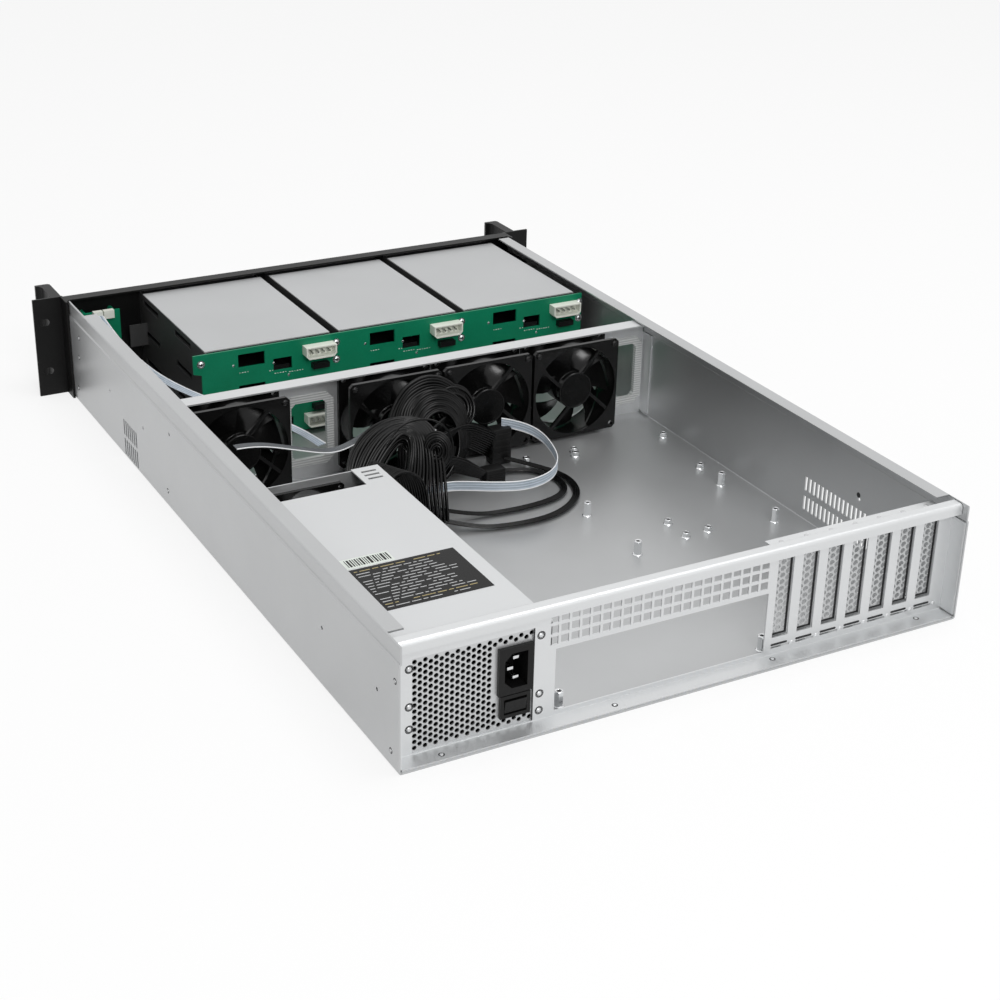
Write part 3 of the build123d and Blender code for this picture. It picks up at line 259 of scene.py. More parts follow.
class Shape:
    """A mesh built up from closed solids, in millimetres, each with the number of its finish."""

    def __init__(self):
        self.solids = bmesh.new()

    def keep(self, mesh, place, finish):
        """Put a mesh in its place, give it its finish and add it to the shape."""
        mesh.transform(place)
        first = len(self.solids.faces)
        self.solids.from_mesh(mesh)
        self.solids.faces.ensure_lookup_table()
        for face in self.solids.faces[first:]:
            face.material_index = finish
        bpy.data.meshes.remove(mesh)

    def stamp(self, outlines, depth, place, finish=0):
        """A flat plate with holes. The first outline is its edge, and it reaches depth along local Z."""
        curve = bpy.data.curves.new("stamp", "CURVE")
        curve.dimensions = "2D"
        curve.fill_mode = "BOTH"
        curve.extrude = depth / 2
        for outline in outlines:
            spline = curve.splines.new("POLY")
            spline.points.add(len(outline) - 1)
            for point, (x, y) in zip(spline.points, outline):
                point.co = (x, y, 0, 1)
            spline.use_cyclic_u = True
        holder = bpy.data.objects.new("stamp", curve)
        mesh = bpy.data.meshes.new_from_object(holder)
        bpy.data.objects.remove(holder)
        bpy.data.curves.remove(curve)
        self.keep(mesh, place @ Matrix.Translation((0, 0, depth / 2)), finish)

    def turn(self, profile, place, sides=16, finish=0):
        """A turned solid. The profile gives its radii and their heights along local Z."""
        turned = bmesh.new()
        rings = []
        for radius, height in profile:
            if radius < 1e-6:
                rings.append([turned.verts.new((0, 0, height))] * sides)
            else:
                rings.append([turned.verts.new((x, y, height)) for x, y in ring(0, 0, radius, sides)])
        for low, high in zip(rings, rings[1:]):
            for i in range(sides):
                j = (i + 1) % sides
                face = dict.fromkeys((low[i], low[j], high[j], high[i]))
                if len(face) > 2:
                    turned.faces.new(list(face))
        bmesh.ops.recalc_face_normals(turned, faces=turned.faces)
        mesh = bpy.data.meshes.new("turned")
        turned.to_mesh(mesh)
        turned.free()
        self.keep(mesh, place, finish)

    def block(self, low, high, edge=0.0, finish=0):
        """A block between two corners, with its edges eased."""
        solid = bmesh.new()
        bmesh.ops.create_cube(solid, size=1)
        size = Vector(high) - Vector(low)
        middle = (Vector(high) + Vector(low)) / 2
        for vert in solid.verts:
            vert.co = Vector([c * s for c, s in zip(vert.co, size)]) + middle
        if edge:
            edges = solid.edges[:]
            bmesh.ops.bevel(solid, geom=edges, offset=edge, segments=2, profile=0.5, affect="EDGES")
        mesh = bpy.data.meshes.new("block")
        solid.to_mesh(mesh)
        solid.free()
        self.keep(mesh, Matrix(), finish)

    def piece(self, name, finishes, body="case", stands_for=(), slot=None, smooth=35):
        """Turn the solids into a piece of the object that rides on a body."""
        mesh = bpy.data.meshes.new(name)
        self.solids.to_mesh(mesh)
        self.solids.free()
        mesh.transform(Matrix.Scale(mm, 4))
        for finish in finishes:
            mesh.materials.append(finish.material)
        mesh.shade_smooth()
        mesh.set_sharp_from_angle(angle=math.radians(smooth))
        made = bpy.data.objects.new(name, mesh)
        bpy.context.scene.collection.objects.link(made)
        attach(made, body)
        if stands_for:
            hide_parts(*stands_for)


# Rivets hold the front panel, the fan wall and the rear panel in the tray. They are steel, with
# low domed heads on the outside of the walls, each in a narrow ring of painted shade. One wall has a
# spare hole, drawn as a dark disc of painted shade.
rivet_steel = zinc("rivet_steel", 0.42, 0.5, 0.3)
hole_shadow = Finish("hole_shadow")
hole_shadow.surface(Base_Color=(0.012, 0.012, 0.013, 1), Roughness=0.7)
rivet_head = [(0, 0.7), (0.8, 0.6), (1.3, 0.3), (1.4, 0.0), (1.4, -0.2), (0, -0.2)]
shade_disc = [(0, 0.06), (2.1, 0.06), (2.1, -0.2), (0, -0.2)]
rivets = Shape()
left_rivets = [(-297, 64), (-301, 45), (-310, 14), (-82, 13.5), (320, 63), (314, 11.5)]
right_rivets = [(-297, 64), (-301, 45), (-310, 14), (-82, 13.5), (316, 63.3), (319.7, 16.5)]
for x, places, turned in ((case_high.x, left_rivets, 0), (case_low.x, right_rivets, 180)):
    for y, z in places:
        turn = Matrix.Rotation(math.radians(turned), 4, "X")
        place = sideways(x) @ Matrix.Translation((y, z, 0)) @ turn
        rivets.turn(rivet_head, place)
        rivets.turn(shade_disc, place, finish=1)
sheet_thickness = 1.2
spare_hole = sideways(case_low.x + sheet_thickness) @ Matrix.Translation((212, 47.1, 0))
rivets.turn(shade_disc, spare_hole, finish=1)
rivets.piece("side_rivets", [rivet_steel, hole_shadow])

# The rear panel is folded from the same sheet, but its grey is painted lighter than the tray's for the
# light it catches, and so are the heads on it. Rivets through its foot fix it to the floor. Screws hold
# the power supply to it, and small ones stand under the card slots.
lit_panel_steel = zinc("lit_panel_steel", 0.64, 0.72)
dress(lit_panel_steel, "rear_panel")
panel_face = corners("rear_panel")[1].y - 13.0
foot_top = 2.2
paint = 0.12
foot_rivets = Shape()
for x, y in ((183.4, 319), (59.5, 318), (-65, 316), (-188, 315.5)):
    foot_rivets.turn(rivet_head, Matrix.Translation((x, y, foot_top)))
    foot_rivets.turn(shade_disc, Matrix.Translation((x, y, foot_top)), finish=1)
slots = 7
slot_pitch = 20.32
first_slot_x = -73.1
small_head = [(0, 0.5), (1.0, 0.4), (1.5, 0.0), (1.5, -0.2), (0, -0.2)]
small_head_x = -11
small_head_z = 8
for i in range(slots):
    x = first_slot_x - i * slot_pitch
    foot_rivets.turn(small_head, outwards(x + small_head_x, panel_face, small_head_z), 12)
    # A dark dash of painted shade under each card slot.
    foot_rivets.stamp([rectangle(x, 9.6, 13.5, 1.6, 0.6)], paint, upright(panel_face + paint), 1)
supply_screws = [(201.4, 62.5), (201.4, 36.3), (201.4, 20.5), (111.4, 62.9), (111.4, 21.2), (111.4, 9.0)]
supply_head = [(0, 0.7), (1.1, 0.6), (1.7, 0.0), (1.7, -0.8), (0, -0.8)]
# Each supply screw sits in a recess whose shade is painted as a dark disc and a dark rim round its head.
recess_shade_floor = [(0, -0.4), (2.4, -0.4), (2.4, -0.8), (0, -0.8)]
recess_shade_rim = [(2.4, 0.08), (2.9, 0.08), (2.9, -0.1), (2.4, -0.1), (2.4, 0.08)]
for x, z in supply_screws:
    place = outwards(x, panel_face, z)
    foot_rivets.turn(supply_head, place)
    foot_rivets.turn(recess_shade_floor, place, 16, 1)
    foot_rivets.turn(recess_shade_rim, place, 18, 1)
foot_rivets.piece("foot_rivets", [lit_panel_steel, hole_shadow])

# Seven slot covers stand behind the openings. Each is a stamped steel strip full of small round
# holes, with a tongue at the foot and a tab on top that a screw holds under the panel's ledge. Dark
# strips of painted shade beside and below the holes stand for the gaps round each cover.
covers_low, covers_high = corners("slot_covers")
cover_back = covers_high.y
cover_sheet = 0.8
cover_width = 15.0
tab_depth = 9.0
hole_radius = 2.05
hole_rows = 13
first_row = 17.4
row_pitch = 4.97
column_pitch = 4.4
foot = 14.0
top = covers_high.z
half = cover_width / 2
tongue = 4.0
covers = Shape()
for i in range(slots):
    x = first_slot_x - i * slot_pitch
    edge = [
        (x - tongue, covers_low.z), (x + tongue, covers_low.z), (x + tongue, foot), (x + half, foot),
        (x + half, top), (x - half, top), (x - half, foot), (x - tongue, foot),
    ]
    holes = []
    for column in (-1, 0, 1):
        middle = column == 0
        lowest = first_row + (row_pitch / 2 if middle else 0)
        for row in range(hole_rows - 1 if middle else hole_rows):
            holes.append(ring(x + column * column_pitch, lowest + row * row_pitch, hole_radius, 12))
    covers.stamp([edge, *holes], cover_sheet, upright(cover_back))
    tab = rectangle(x, covers_low.y + tab_depth / 2, cover_width, tab_depth)
    covers.stamp([tab], cover_sheet, level(top - cover_sheet))
    # Strips of painted shade for the gaps beside and below the cover.
    shade = upright(cover_back + paint)
    covers.stamp([rectangle(x - half + 1.3, 48.5, 1.7, 64)], paint, shade, 1)
    covers.stamp([rectangle(x - 0.6, 16.0, 13.0, 1.4)], paint, shade, 1)
strip_steel = zinc("strip_steel", 0.5, 0.58)
covers.piece("perforated_covers", [strip_steel, hole_shadow], "case", ("slot_covers",), "galvanised_steel")

# Hexagonal brass standoffs with a bright nickel coat are pressed into the floor, nine tall ones and
# eight low ones. Each has a turned collar at its foot, a rounded rim on top, and its thread hole
# painted on top as a dark disc of shade.
nickel = zinc("nickel", 0.75, 0.9, 0.18, 1.0)
dress(nickel, "standoffs")
tall_posts = [(x, y) for x in (91.44, -66.04, -190.5) for y in (301.5, 146.56, 74.17)]
low_posts = [
    (-200.9, -26.0), (-114.0, -25.0), (-117.0, -32.0), (-193.9, 39.7), (-114.2, 114.2), (-114.3, 138.7),
    (-135.0, 137.6), (-71.8, -32.2),
]
rim = [(1.6, -0.2), (1.6, 0.1), (1.9, 0.45), (2.4, 0.45), (2.7, 0.1), (2.7, -0.2), (1.6, -0.2)]
collar = [(2.2, -0.05), (3.7, -0.05), (3.7, 0.5), (3.2, 0.9), (2.2, 0.9), (2.2, -0.05)]
thread_shade = [(0, 0), (1.5, 0), (1.5, 0.08), (0, 0.08)]
collars = Shape()
for posts, top in ((tall_posts, 12.2), (low_posts, 5.2)):
    for x, y in posts:
        collars.turn(rim, Matrix.Translation((x, y, top)), 18)
        collars.turn(collar, Matrix.Translation((x, y, sheet_thickness)), 18)
        collars.turn(thread_shade, Matrix.Translation((x, y, top - 0.02)), 12, 1)
collars.piece("standoff_collars", [nickel, hole_shadow])


# The front panel and the ears are folded steel too, under a fine-textured black powder coat. The
# drive cage behind them has a glossier one, whose black is painted greyer for the sheen it shows at a
# grazing angle.
def black_coat(name, base, rough, grain, depth, gloss=0.2):
    """Black paint or plastic with a fine texture."""
    coat = Finish(name)
    speck = coat.grain(grain, 2)
    cloud = coat.grain(25, 2)
    coat.surface(
        Base_Color=coat.between(cloud, [base * 0.8] * 3, [base * 1.25] * 3),
        Roughness=speck * 0.14 + (rough - 0.07),
        Normal=coat.bump(speck, 0.35, depth),
        Specular_IOR_Level=gloss,
    )
    return coat


powder_coat = black_coat("powder_coat", 0.006, 0.4, 2600, 0.0001, 0.15)
dress(powder_coat, "front_panel", "ear_left", "ear_right")
cage_coat_painted_sheen = black_coat("cage_coat_painted_sheen", 0.045, 0.42, 2600, 0.0001, 0.3)
dress(cage_coat_painted_sheen, "drive_cage")

# The fan wall is a folded strip of zinc-coated sheet. Pale ribbed trim covers the raw edges of
# its two cable windows. The trim's grooves are painted darker as shade, and its crests lighter as highlight.
wall_steel = zinc("wall_steel", 0.6, 0.7)
dress(wall_steel, "fan_wall")
trim_plastic = Finish("trim_plastic")
ribs_and_painted_shade = trim_plastic.node(
    "ShaderNodeTexWave", {"bands_direction": "Z"}, {"Vector": trim_plastic.place(), "Scale": 150.0}
)
# The colour follows the ribs: painted shade in the grooves, painted highlight on the crests.
trim_plastic.surface(
    Base_Color=trim_plastic.between(ribs_and_painted_shade, (0.4, 0.41, 0.41), (0.62, 0.63, 0.62)),
    Roughness=0.45,
    Normal=trim_plastic.bump(ribs_and_painted_shade, 0.5, 0.0004),
)
dress(trim_plastic, "window_trims")

# The case fans are glossy black mouldings. Two square flanges are joined by a round duct, four
# slanted struts hold the hub, and a rotor of seven swept blades turns in front of them. A thin label
# covers the hub.
fan_black = black_coat("fan_black", 0.005, 0.2, 1400, 0.00001, 0.26)
label_black = black_coat("label_black", 0.003, 0.25, 800, 0.00001, 0.15)


def build_fan(number, frame_node, rotor_node, rotor_body, bore, hub):
    """One fan, whose frame rides on the case and whose rotor rides on its own body."""
    low, high = corners(frame_node)
    x, z = (low.x + high.x) / 2, (low.z + high.z) / 2
    size = high.x - low.x
    depth = high.y - low.y
    flange = 3.2
    wall = 1.4
    hole_spacing = size * 0.894
    holes = [
        ring(x + sx * hole_spacing / 2, z + sz * hole_spacing / 2, size * 0.027, 12)
        for sx in (-1, 1)
        for sz in (-1, 1)
    ]
    body = Shape()
    plate = rectangle(x, z, size, size, size * 0.035)
    for y in (high.y, low.y + flange):
        body.stamp([plate, ring(x, z, bore, 48), *holes], flange, upright(y))
    duct = [(bore, 0), (bore + wall, 0), (bore + wall, depth - 2), (bore, depth - 2), (bore, 0)]
    body.turn(duct, upright(high.y - 1) @ Matrix.Translation((x, z, 0)), 48)
    strut_half_width = 1.4
    strut_depth = 2.6
    strut_lean = 0.42
    first_strut = 20
    for i in range(4):
        angle = math.radians(first_strut + 90 * i)
        across = Vector((math.cos(angle), math.sin(angle)))
        along = Vector((math.cos(angle + strut_lean), math.sin(angle + strut_lean)))
        start = Vector((x, z)) + across * (hub - 1)
        end = start + along * (bore + 2 - hub) * 1.02
        side = Vector((-along.y, along.x)) * strut_half_width
        strut = [tuple(start + side), tuple(start - side), tuple(end - side), tuple(end + side)]
        body.stamp([strut], strut_depth, upright(high.y - 0.3))
    axis = Matrix.Translation((x, z, 0))
    hub_rim = [(0, 0.4), (hub - 1.6, 0.4), (hub - 1.3, 0), (hub - 0.4, 0), (hub, 0.5), (hub, 4.2), (0, 4.2)]
    hub_label = [(0, 0.1), (hub - 1.8, 0.1), (hub - 1.8, 0.6), (0, 0.6)]
    body.turn(hub_rim, upright(high.y) @ axis, 40)
    body.turn(hub_label, upright(high.y) @ axis, 40, finish=1)
    body.piece(f"fan_{number}_frame", [fan_black, label_black], "case", (frame_node,), "black_plastic")

    rotor = Shape()
    cup = [(0, 0), (hub - 0.8, 0), (hub, 0.8), (hub, depth - 6.5), (0, depth - 6.5)]
    rotor.turn(cup, upright(high.y - 5.2) @ axis, 36)
    blades = 7
    stations = 5
    chord_steps = 5
    root = hub - 0.6
    tip = bore - 1.2
    blade_thickness = 1.0
    middle_y = low.y + depth * 0.46
    # Each blade is a thin curved sheet, two grids of points that are closed along their edges.
    blade_mesh = bmesh.new()
    for blade in range(blades):
        start = 2 * math.pi * blade / blades
        grids = []
        for face in (-1, 1):
            grid = []
            for s in range(stations):
                t = s / (stations - 1)
                radius = root + t * (tip - root)
                row = []
                for c in range(chord_steps):
                    u = c / (chord_steps - 1) - 0.5
                    sweep = (0.95 - 0.22 * t) * u + 0.35 * t
                    rise = (depth - 9) * u * (1 - 0.12 * t)
                    camber = 1.6 * (1 - 4 * u * u)
                    y = middle_y + rise + face * blade_thickness / 2 - camber
                    across = radius * math.cos(start + sweep)
                    upwards = radius * math.sin(start + sweep)
                    row.append(blade_mesh.verts.new((x + across, y, z + upwards)))
                grid.append(row)
            grids.append(grid)
        for grid in grids:
            for s in range(stations - 1):
                for c in range(chord_steps - 1):
                    blade_mesh.faces.new((grid[s][c], grid[s + 1][c], grid[s + 1][c + 1], grid[s][c + 1]))
        near, far = grids
        loop = [(s, 0) for s in range(stations)] + [(stations - 1, c) for c in range(1, chord_steps)]
        loop += [(s, chord_steps - 1) for s in range(stations - 2, -1, -1)]
        loop += [(0, c) for c in range(chord_steps - 2, 0, -1)]
        for (s, c), (p, q) in zip(loop, loop[1:] + loop[:1]):
            blade_mesh.faces.new((near[s][c], near[p][q], far[p][q], far[s][c]))
    bmesh.ops.recalc_face_normals(blade_mesh, faces=blade_mesh.faces)
    mesh = bpy.data.meshes.new("blades")
    blade_mesh.to_mesh(mesh)
    blade_mesh.free()
    rotor.keep(mesh, Matrix(), 0)
    rotor.piece(f"fan_{number}_rotor", [fan_black], rotor_body, (rotor_node,), "black_plastic", smooth=50)


for number in (1, 2, 3, 4):
    build_fan(number, f"fan_frame_{number}", f"fan_rotor_{number}", f"fan_rotor_{number}", 38.0, 15.6)

# Three light steel plates close the drive cage on top. They have a fine satin grain, and thin gaps
# between them.
cage_plate = zinc("cage_plate", 0.46, 0.54, 0.5, 0.6)
dress(cage_plate, "cage_tops")


# The backplane is a green circuit board with open vents, screwed to the cage. It carries white nylon
# power headers with four pins each, black data sockets, white printed marks and bare solder pads.
def circuit_board(name):
    """Green solder resist over copper tracks."""
    board = Finish(name)
    cloud = board.grain(30, 3)
    weave = board.grain(500, 2)
    share = cloud * 0.6 + weave * 0.35
    board.surface(
        Base_Color=board.between(share, (0.0, 0.13, 0.06), (0.004, 0.26, 0.13)),
        Roughness=0.4,
        Specular_IOR_Level=0.3,
    )
    return board


resist = circuit_board("solder_resist")
dress(resist, "backplane", "control_board")
nylon = Finish("nylon")
cream = nylon.between(nylon.grain(60, 2), (0.72, 0.74, 0.66), (0.84, 0.85, 0.78))
nylon.surface(Base_Color=cream, Roughness=0.42)
dress(nylon, "control_sockets")
socket_black = black_coat("socket_black", 0.008, 0.35, 1200, 0.00003)
dress(socket_black, "data_sockets")
pin_metal = zinc("pin_metal", 0.6, 0.8, 0.2, 1.0)
print_white = Finish("print_white")
ink = print_white.between(print_white.grain(300), (0.6, 0.66, 0.6), (0.8, 0.84, 0.8))
print_white.surface(Base_Color=ink, Roughness=0.5)


def header_outline(x, z, half_width, half_foot, foot, shoulder, top):
    """The corners of a power header's shell, which narrows to its foot."""
    return [
        (x - half_width, z - shoulder), (x - half_foot, z - foot), (x + half_foot, z - foot),
        (x + half_width, z - shoulder), (x + half_width, z + top), (x - half_width, z + top),
    ]


board_face = corners("backplane")[1].y
columns = 3
first_column = 148.0
column_step = 117.3
header_depth = 9.0
header_base = 2.0
pin_pitch = 5.08
pin = [(0, 6.6), (0.5, 6.6), (1.05, 5.6), (1.05, 0), (0, 0)]
printed_rows = ((62, 57.5, 12), (76, 56.8, 14), (54, 60.5, 5), (30, 63, 10), (92, 58, 4))
mark_pitch = 2.3
ink_height = 0.15
pads = ((57, 66.5), (88, 66.5), (22, 70), (70, 54), (102.5, 67), (113, 66.8), (113, 70.5))
solder = [(0, 0.25), (0.9, 0.2), (1.1, 0)]
headers = Shape()
marks = Shape()
for column in range(columns):
    left = first_column - column * column_step
    x = left - 96.0
    for z in (71.8, 11.2):
        outer = header_outline(x, z, 13.5, 11, 4.2, 1.6, 6.2)
        inner = header_outline(x, z, 12.3, 10.4, 3.2, 1.4, 5.2)
        headers.stamp([outer, inner], header_depth, upright(board_face + header_depth))
        headers.stamp([inner], header_base, upright(board_face + header_base))
        for i in range(4):
            place = outwards(x - 7.6 + i * pin_pitch, board_face + 1.5, z + 1.0)
            headers.turn(pin, place, 10, finish=1)
    for from_left, z, width in printed_rows:
        row_start = left - from_left - width / 2 + 0.8
        for i in range(int(width / mark_pitch)):
            mark = rectangle(row_start + mark_pitch * i, z, 1.3 if i % 3 else 0.7, 0.6)
            marks.stamp([mark], ink_height, upright(board_face + ink_height))
    for from_left, z in pads:
        marks.turn(solder, outwards(left - from_left, board_face, z), 10, finish=1)
headers.piece("power_headers", [nylon, pin_metal], "case", ("power_sockets",), "white_plastic")
marks.piece("board_marks", [print_white, pin_metal])

# Nine trays of black plastic slide in the cage, each with a lever that is hinged in its bezel. The
# power and reset buttons beside them are of the same smooth plastic as the levers.
tray_black = black_coat("tray_black", 0.01, 0.4, 1800, 0.00008)
lever_black = black_coat("lever_black", 0.006, 0.25, 900, 0.00003)
for number in range(1, 10):
    dress(tray_black, f"tray_{number}")
    dress(lever_black, f"tray_lever_{number}")
dress(lever_black, "power_button", "reset_button")

# The power supply is a box of thinner steel sheet with a light cover, lined with dark film. Its rear
# face is stamped full of round holes round the mains inlet. Its fan shows through the front face.
psu_steel = zinc("psu_steel", 0.52, 0.6)
cover_steel = zinc("cover_steel", 0.6, 0.66, 0.5, 0.6)
dress(cover_steel, "psu_cover")
dark_board = black_coat("dark_board", 0.012, 0.5, 300, 0.0002)
dress(dark_board, "psu_board")
psu_low, psu_high = corners("psu_case")
sheet = 1.0
fold = 0.2
psu_box = Shape()
psu_box.block(psu_low, (psu_high.x, psu_high.y, psu_low.z + sheet), fold)
for x in (psu_low.x, psu_high.x - sheet):
    psu_box.block((x, psu_low.y, psu_low.z), (x + sheet, psu_high.y, psu_high.z), fold)
fan_low, fan_high = corners("psu_fan_frame")
fan_x, fan_z = (fan_low.x + fan_high.x) / 2, (fan_low.z + fan_high.z) / 2
fan_bore = 28.5
psu_x, psu_z = (psu_low.x + psu_high.x) / 2, (psu_low.z + psu_high.z) / 2
end_plate = rectangle(psu_x, psu_z, psu_high.x - psu_low.x, psu_high.z - psu_low.z)
wire_hole = ring(psu_low.x + 14.5, 34, 13, 24)
psu_box.stamp([end_plate, ring(fan_x, fan_z, fan_bore, 40), wire_hole], sheet, upright(psu_low.y + sheet))
inlet_low, inlet_high = corners("psu_inlet")
inlet_x = (inlet_low.x + inlet_high.x) / 2
inlet_z = 43.7
switch_z = 18.6
vents = []
vent_radius = 1.6
vent_columns = 23
vent_rows = 15
vent_step = 3.62
vent_pitch = 4.3
highest_vent = 68
for column in range(vent_columns):
    x = psu_high.x - 5.6 - column * vent_step
    first_vent = 5.8 + (vent_pitch / 2 if column % 2 else 0)
    for row in range(vent_rows):
        z = first_vent + row * vent_pitch
        beside_inlet = abs(x - inlet_x) < 14.6 and abs(z - inlet_z) < 18.8
        beside_switch = abs(x - inlet_x) < 13.2 and abs(z - switch_z) < 10.4
        if not (beside_inlet or beside_switch) and z < highest_vent:
            vents.append(ring(x, z, vent_radius, 12))
openings = [rectangle(inlet_x, inlet_z, 21, 30), rectangle(inlet_x, switch_z, 18, 13)]
psu_box.stamp([end_plate, *vents, *openings], sheet, upright(psu_high.y))
film = 0.4
film_low = psu_low.z + sheet
film_rear = psu_high.y - 2
bottom_film = (psu_high.x - sheet, film_rear, film_low + film)
psu_box.block((psu_low.x + sheet, psu_low.y + 30, film_low), bottom_film, finish=1)
for x in (psu_low.x + sheet, psu_high.x - sheet - film):
    psu_box.block((x, psu_low.y + sheet, film_low), (x + film, film_rear, psu_high.z - 3), finish=1)
# A thin dark strip of painted shade stands for the gap between the power supply and the panel's opening.
shade_slit_x = 115.9
psu_box.block((shade_slit_x, panel_face - 0.1, 3), (shade_slit_x + 0.9, panel_face + paint, 69), finish=2)
psu_box.piece("psu_box", [psu_steel, dark_board, hole_shadow], "case", ("psu_case",), "galvanised_steel")
build_fan(5, "psu_fan_frame", "psu_fan_rotor", "psu_fan_rotor", fan_bore, 13.0)

# The mains inlet is a black moulding with a rocker switch under it. Three plated blades stand in its
# well.
inlet_black = black_coat("inlet_black", 0.006, 0.3, 1500, 0.00003)
dress(inlet_black, "psu_inlet", "psu_switch")
contacts = Shape()
for x, z in ((inlet_x - 1.5, inlet_z + 7), (inlet_x + 2.5, inlet_z), (inlet_x - 1.5, inlet_z - 7)):
    contacts.block((x - 2.1, panel_face - 12, z - 1.1), (x + 2.1, panel_face - 1.8, z + 1.1), 0.3)
contacts.piece("inlet_blades", [pin_metal])

# A black label and a white strip of plain bars are stuck on the power supply's cover. The label has
# rows of fine dashes in grey, and two of them in gold.
label_gold = Finish("label_gold")
gold = label_gold.between(label_gold.grain(200), (0.35, 0.28, 0.12), (0.5, 0.42, 0.2))
label_gold.surface(Base_Color=gold, Roughness=0.5)
cover_top = corners("psu_cover")[1].z
label_top = cover_top + 0.2
bar_gap = 0.95
bar_widths = (1.0, 0.5, 1.6, 0.6, 0.6, 1.2, 0.5, 1.8, 0.7, 0.5, 1.3, 0.6, 1.0, 0.5, 0.9, 1.4, 0.5)
dash_rows = 15
gold_rows = (0, 13)
row_step = 3.6
dash_gap = 1.5
dash_depth = 0.75
labels = Shape()
labels.block((114, 197, cover_top), (190, 255, label_top))
labels.block((155, 182, cover_top), (190, 195.5, label_top), finish=1)
x = 156.5
for width in bar_widths:
    labels.block((x, 184, label_top), (x + width, 193.5, label_top + 0.1))
    x += width + bar_gap
for row in range(dash_rows):
    y = 200.5 + row * row_step
    x = 187.0
    row_end = 124 + (row * 11) % 13
    tone = 3 if row in gold_rows else 2
    dash = 0
    while x > row_end:
        width = 2.4 + (row * 7 + dash * 5) % 8
        if (row + 2 * dash) % 7 != 3:
            labels.block((x - width, y, label_top), (x, y + dash_depth, label_top + 0.08), finish=tone)
        x -= width + dash_gap
        dash += 1
labels.piece("psu_labels", [label_black, print_white, psu_steel, label_gold])

# The screws are pan heads, zinc-plated on the board and black on the fans, each with its cross slot
# painted on as a dark cross of shade. Flat ones hold the slot covers' tabs.
screw_zinc = zinc("screw_zinc", 0.55, 0.7, 0.25, 0.95)
screws = Shape()
pan = [(0, 1.7), (1.0, 1.65), (2.0, 1.3), (2.5, 0.7), (2.6, 0.0), (0, 0.0)]
flat = [(0, 0.7), (1.4, 0.6), (2.0, 0.0), (0, 0.0)]
washer = [(2.6, 0.0), (2.6, 0.12), (3.4, 0.12), (3.4, 0.0), (2.6, 0.0)]
fan_screw_inset = 4.25


def screw(place, finish=0):
    """One pan head with its cross slot."""
    screws.turn(pan, place, 18, finish)
    # The cross slot is a dark cross of painted shade on top of the head.
    for wide, tall in ((2.6, 0.6), (0.6, 2.6)):
        screws.stamp([rectangle(0, 0, wide, tall)], 0.12, place @ Matrix.Translation((0, 0, 1.62)), 1)


for number in (1, 2, 3, 4):
    low, high = corners(f"fan_frame_{number}")
    for x in (low.x + fan_screw_inset, high.x - fan_screw_inset):
        screw(outwards(x, high.y, high.z - fan_screw_inset), 2)
column_ends = [first_column - column * column_step - 112.7 for column in range(columns)]
for x, z in [(153.5, 75.7), *[(x, z) for x in column_ends for z in (60.9, 75.7)]]:
    screw(outwards(x, board_face, z))
    screws.turn(washer, outwards(x, board_face, z), 24)
for i in range(slots):
    x = first_slot_x - i * slot_pitch
    place = Matrix.Translation((x, covers_low.y + tab_depth / 2, covers_high.z + 1.0))
    screws.turn(flat, place, 18)
screws.piece("screw_heads", [screw_zinc, hole_shadow, fan_black], "case", ("screws",), "screw_steel")

# The power supply's wires are black with a glossy sleeve. They leave it in a broad bundle that
# arches over to the floor. Beside the arch, the rest is folded up in an upright coil.
wire_black = black_coat("wire_black", 0.002, 0.17, 300, 0.000003, 0.22)


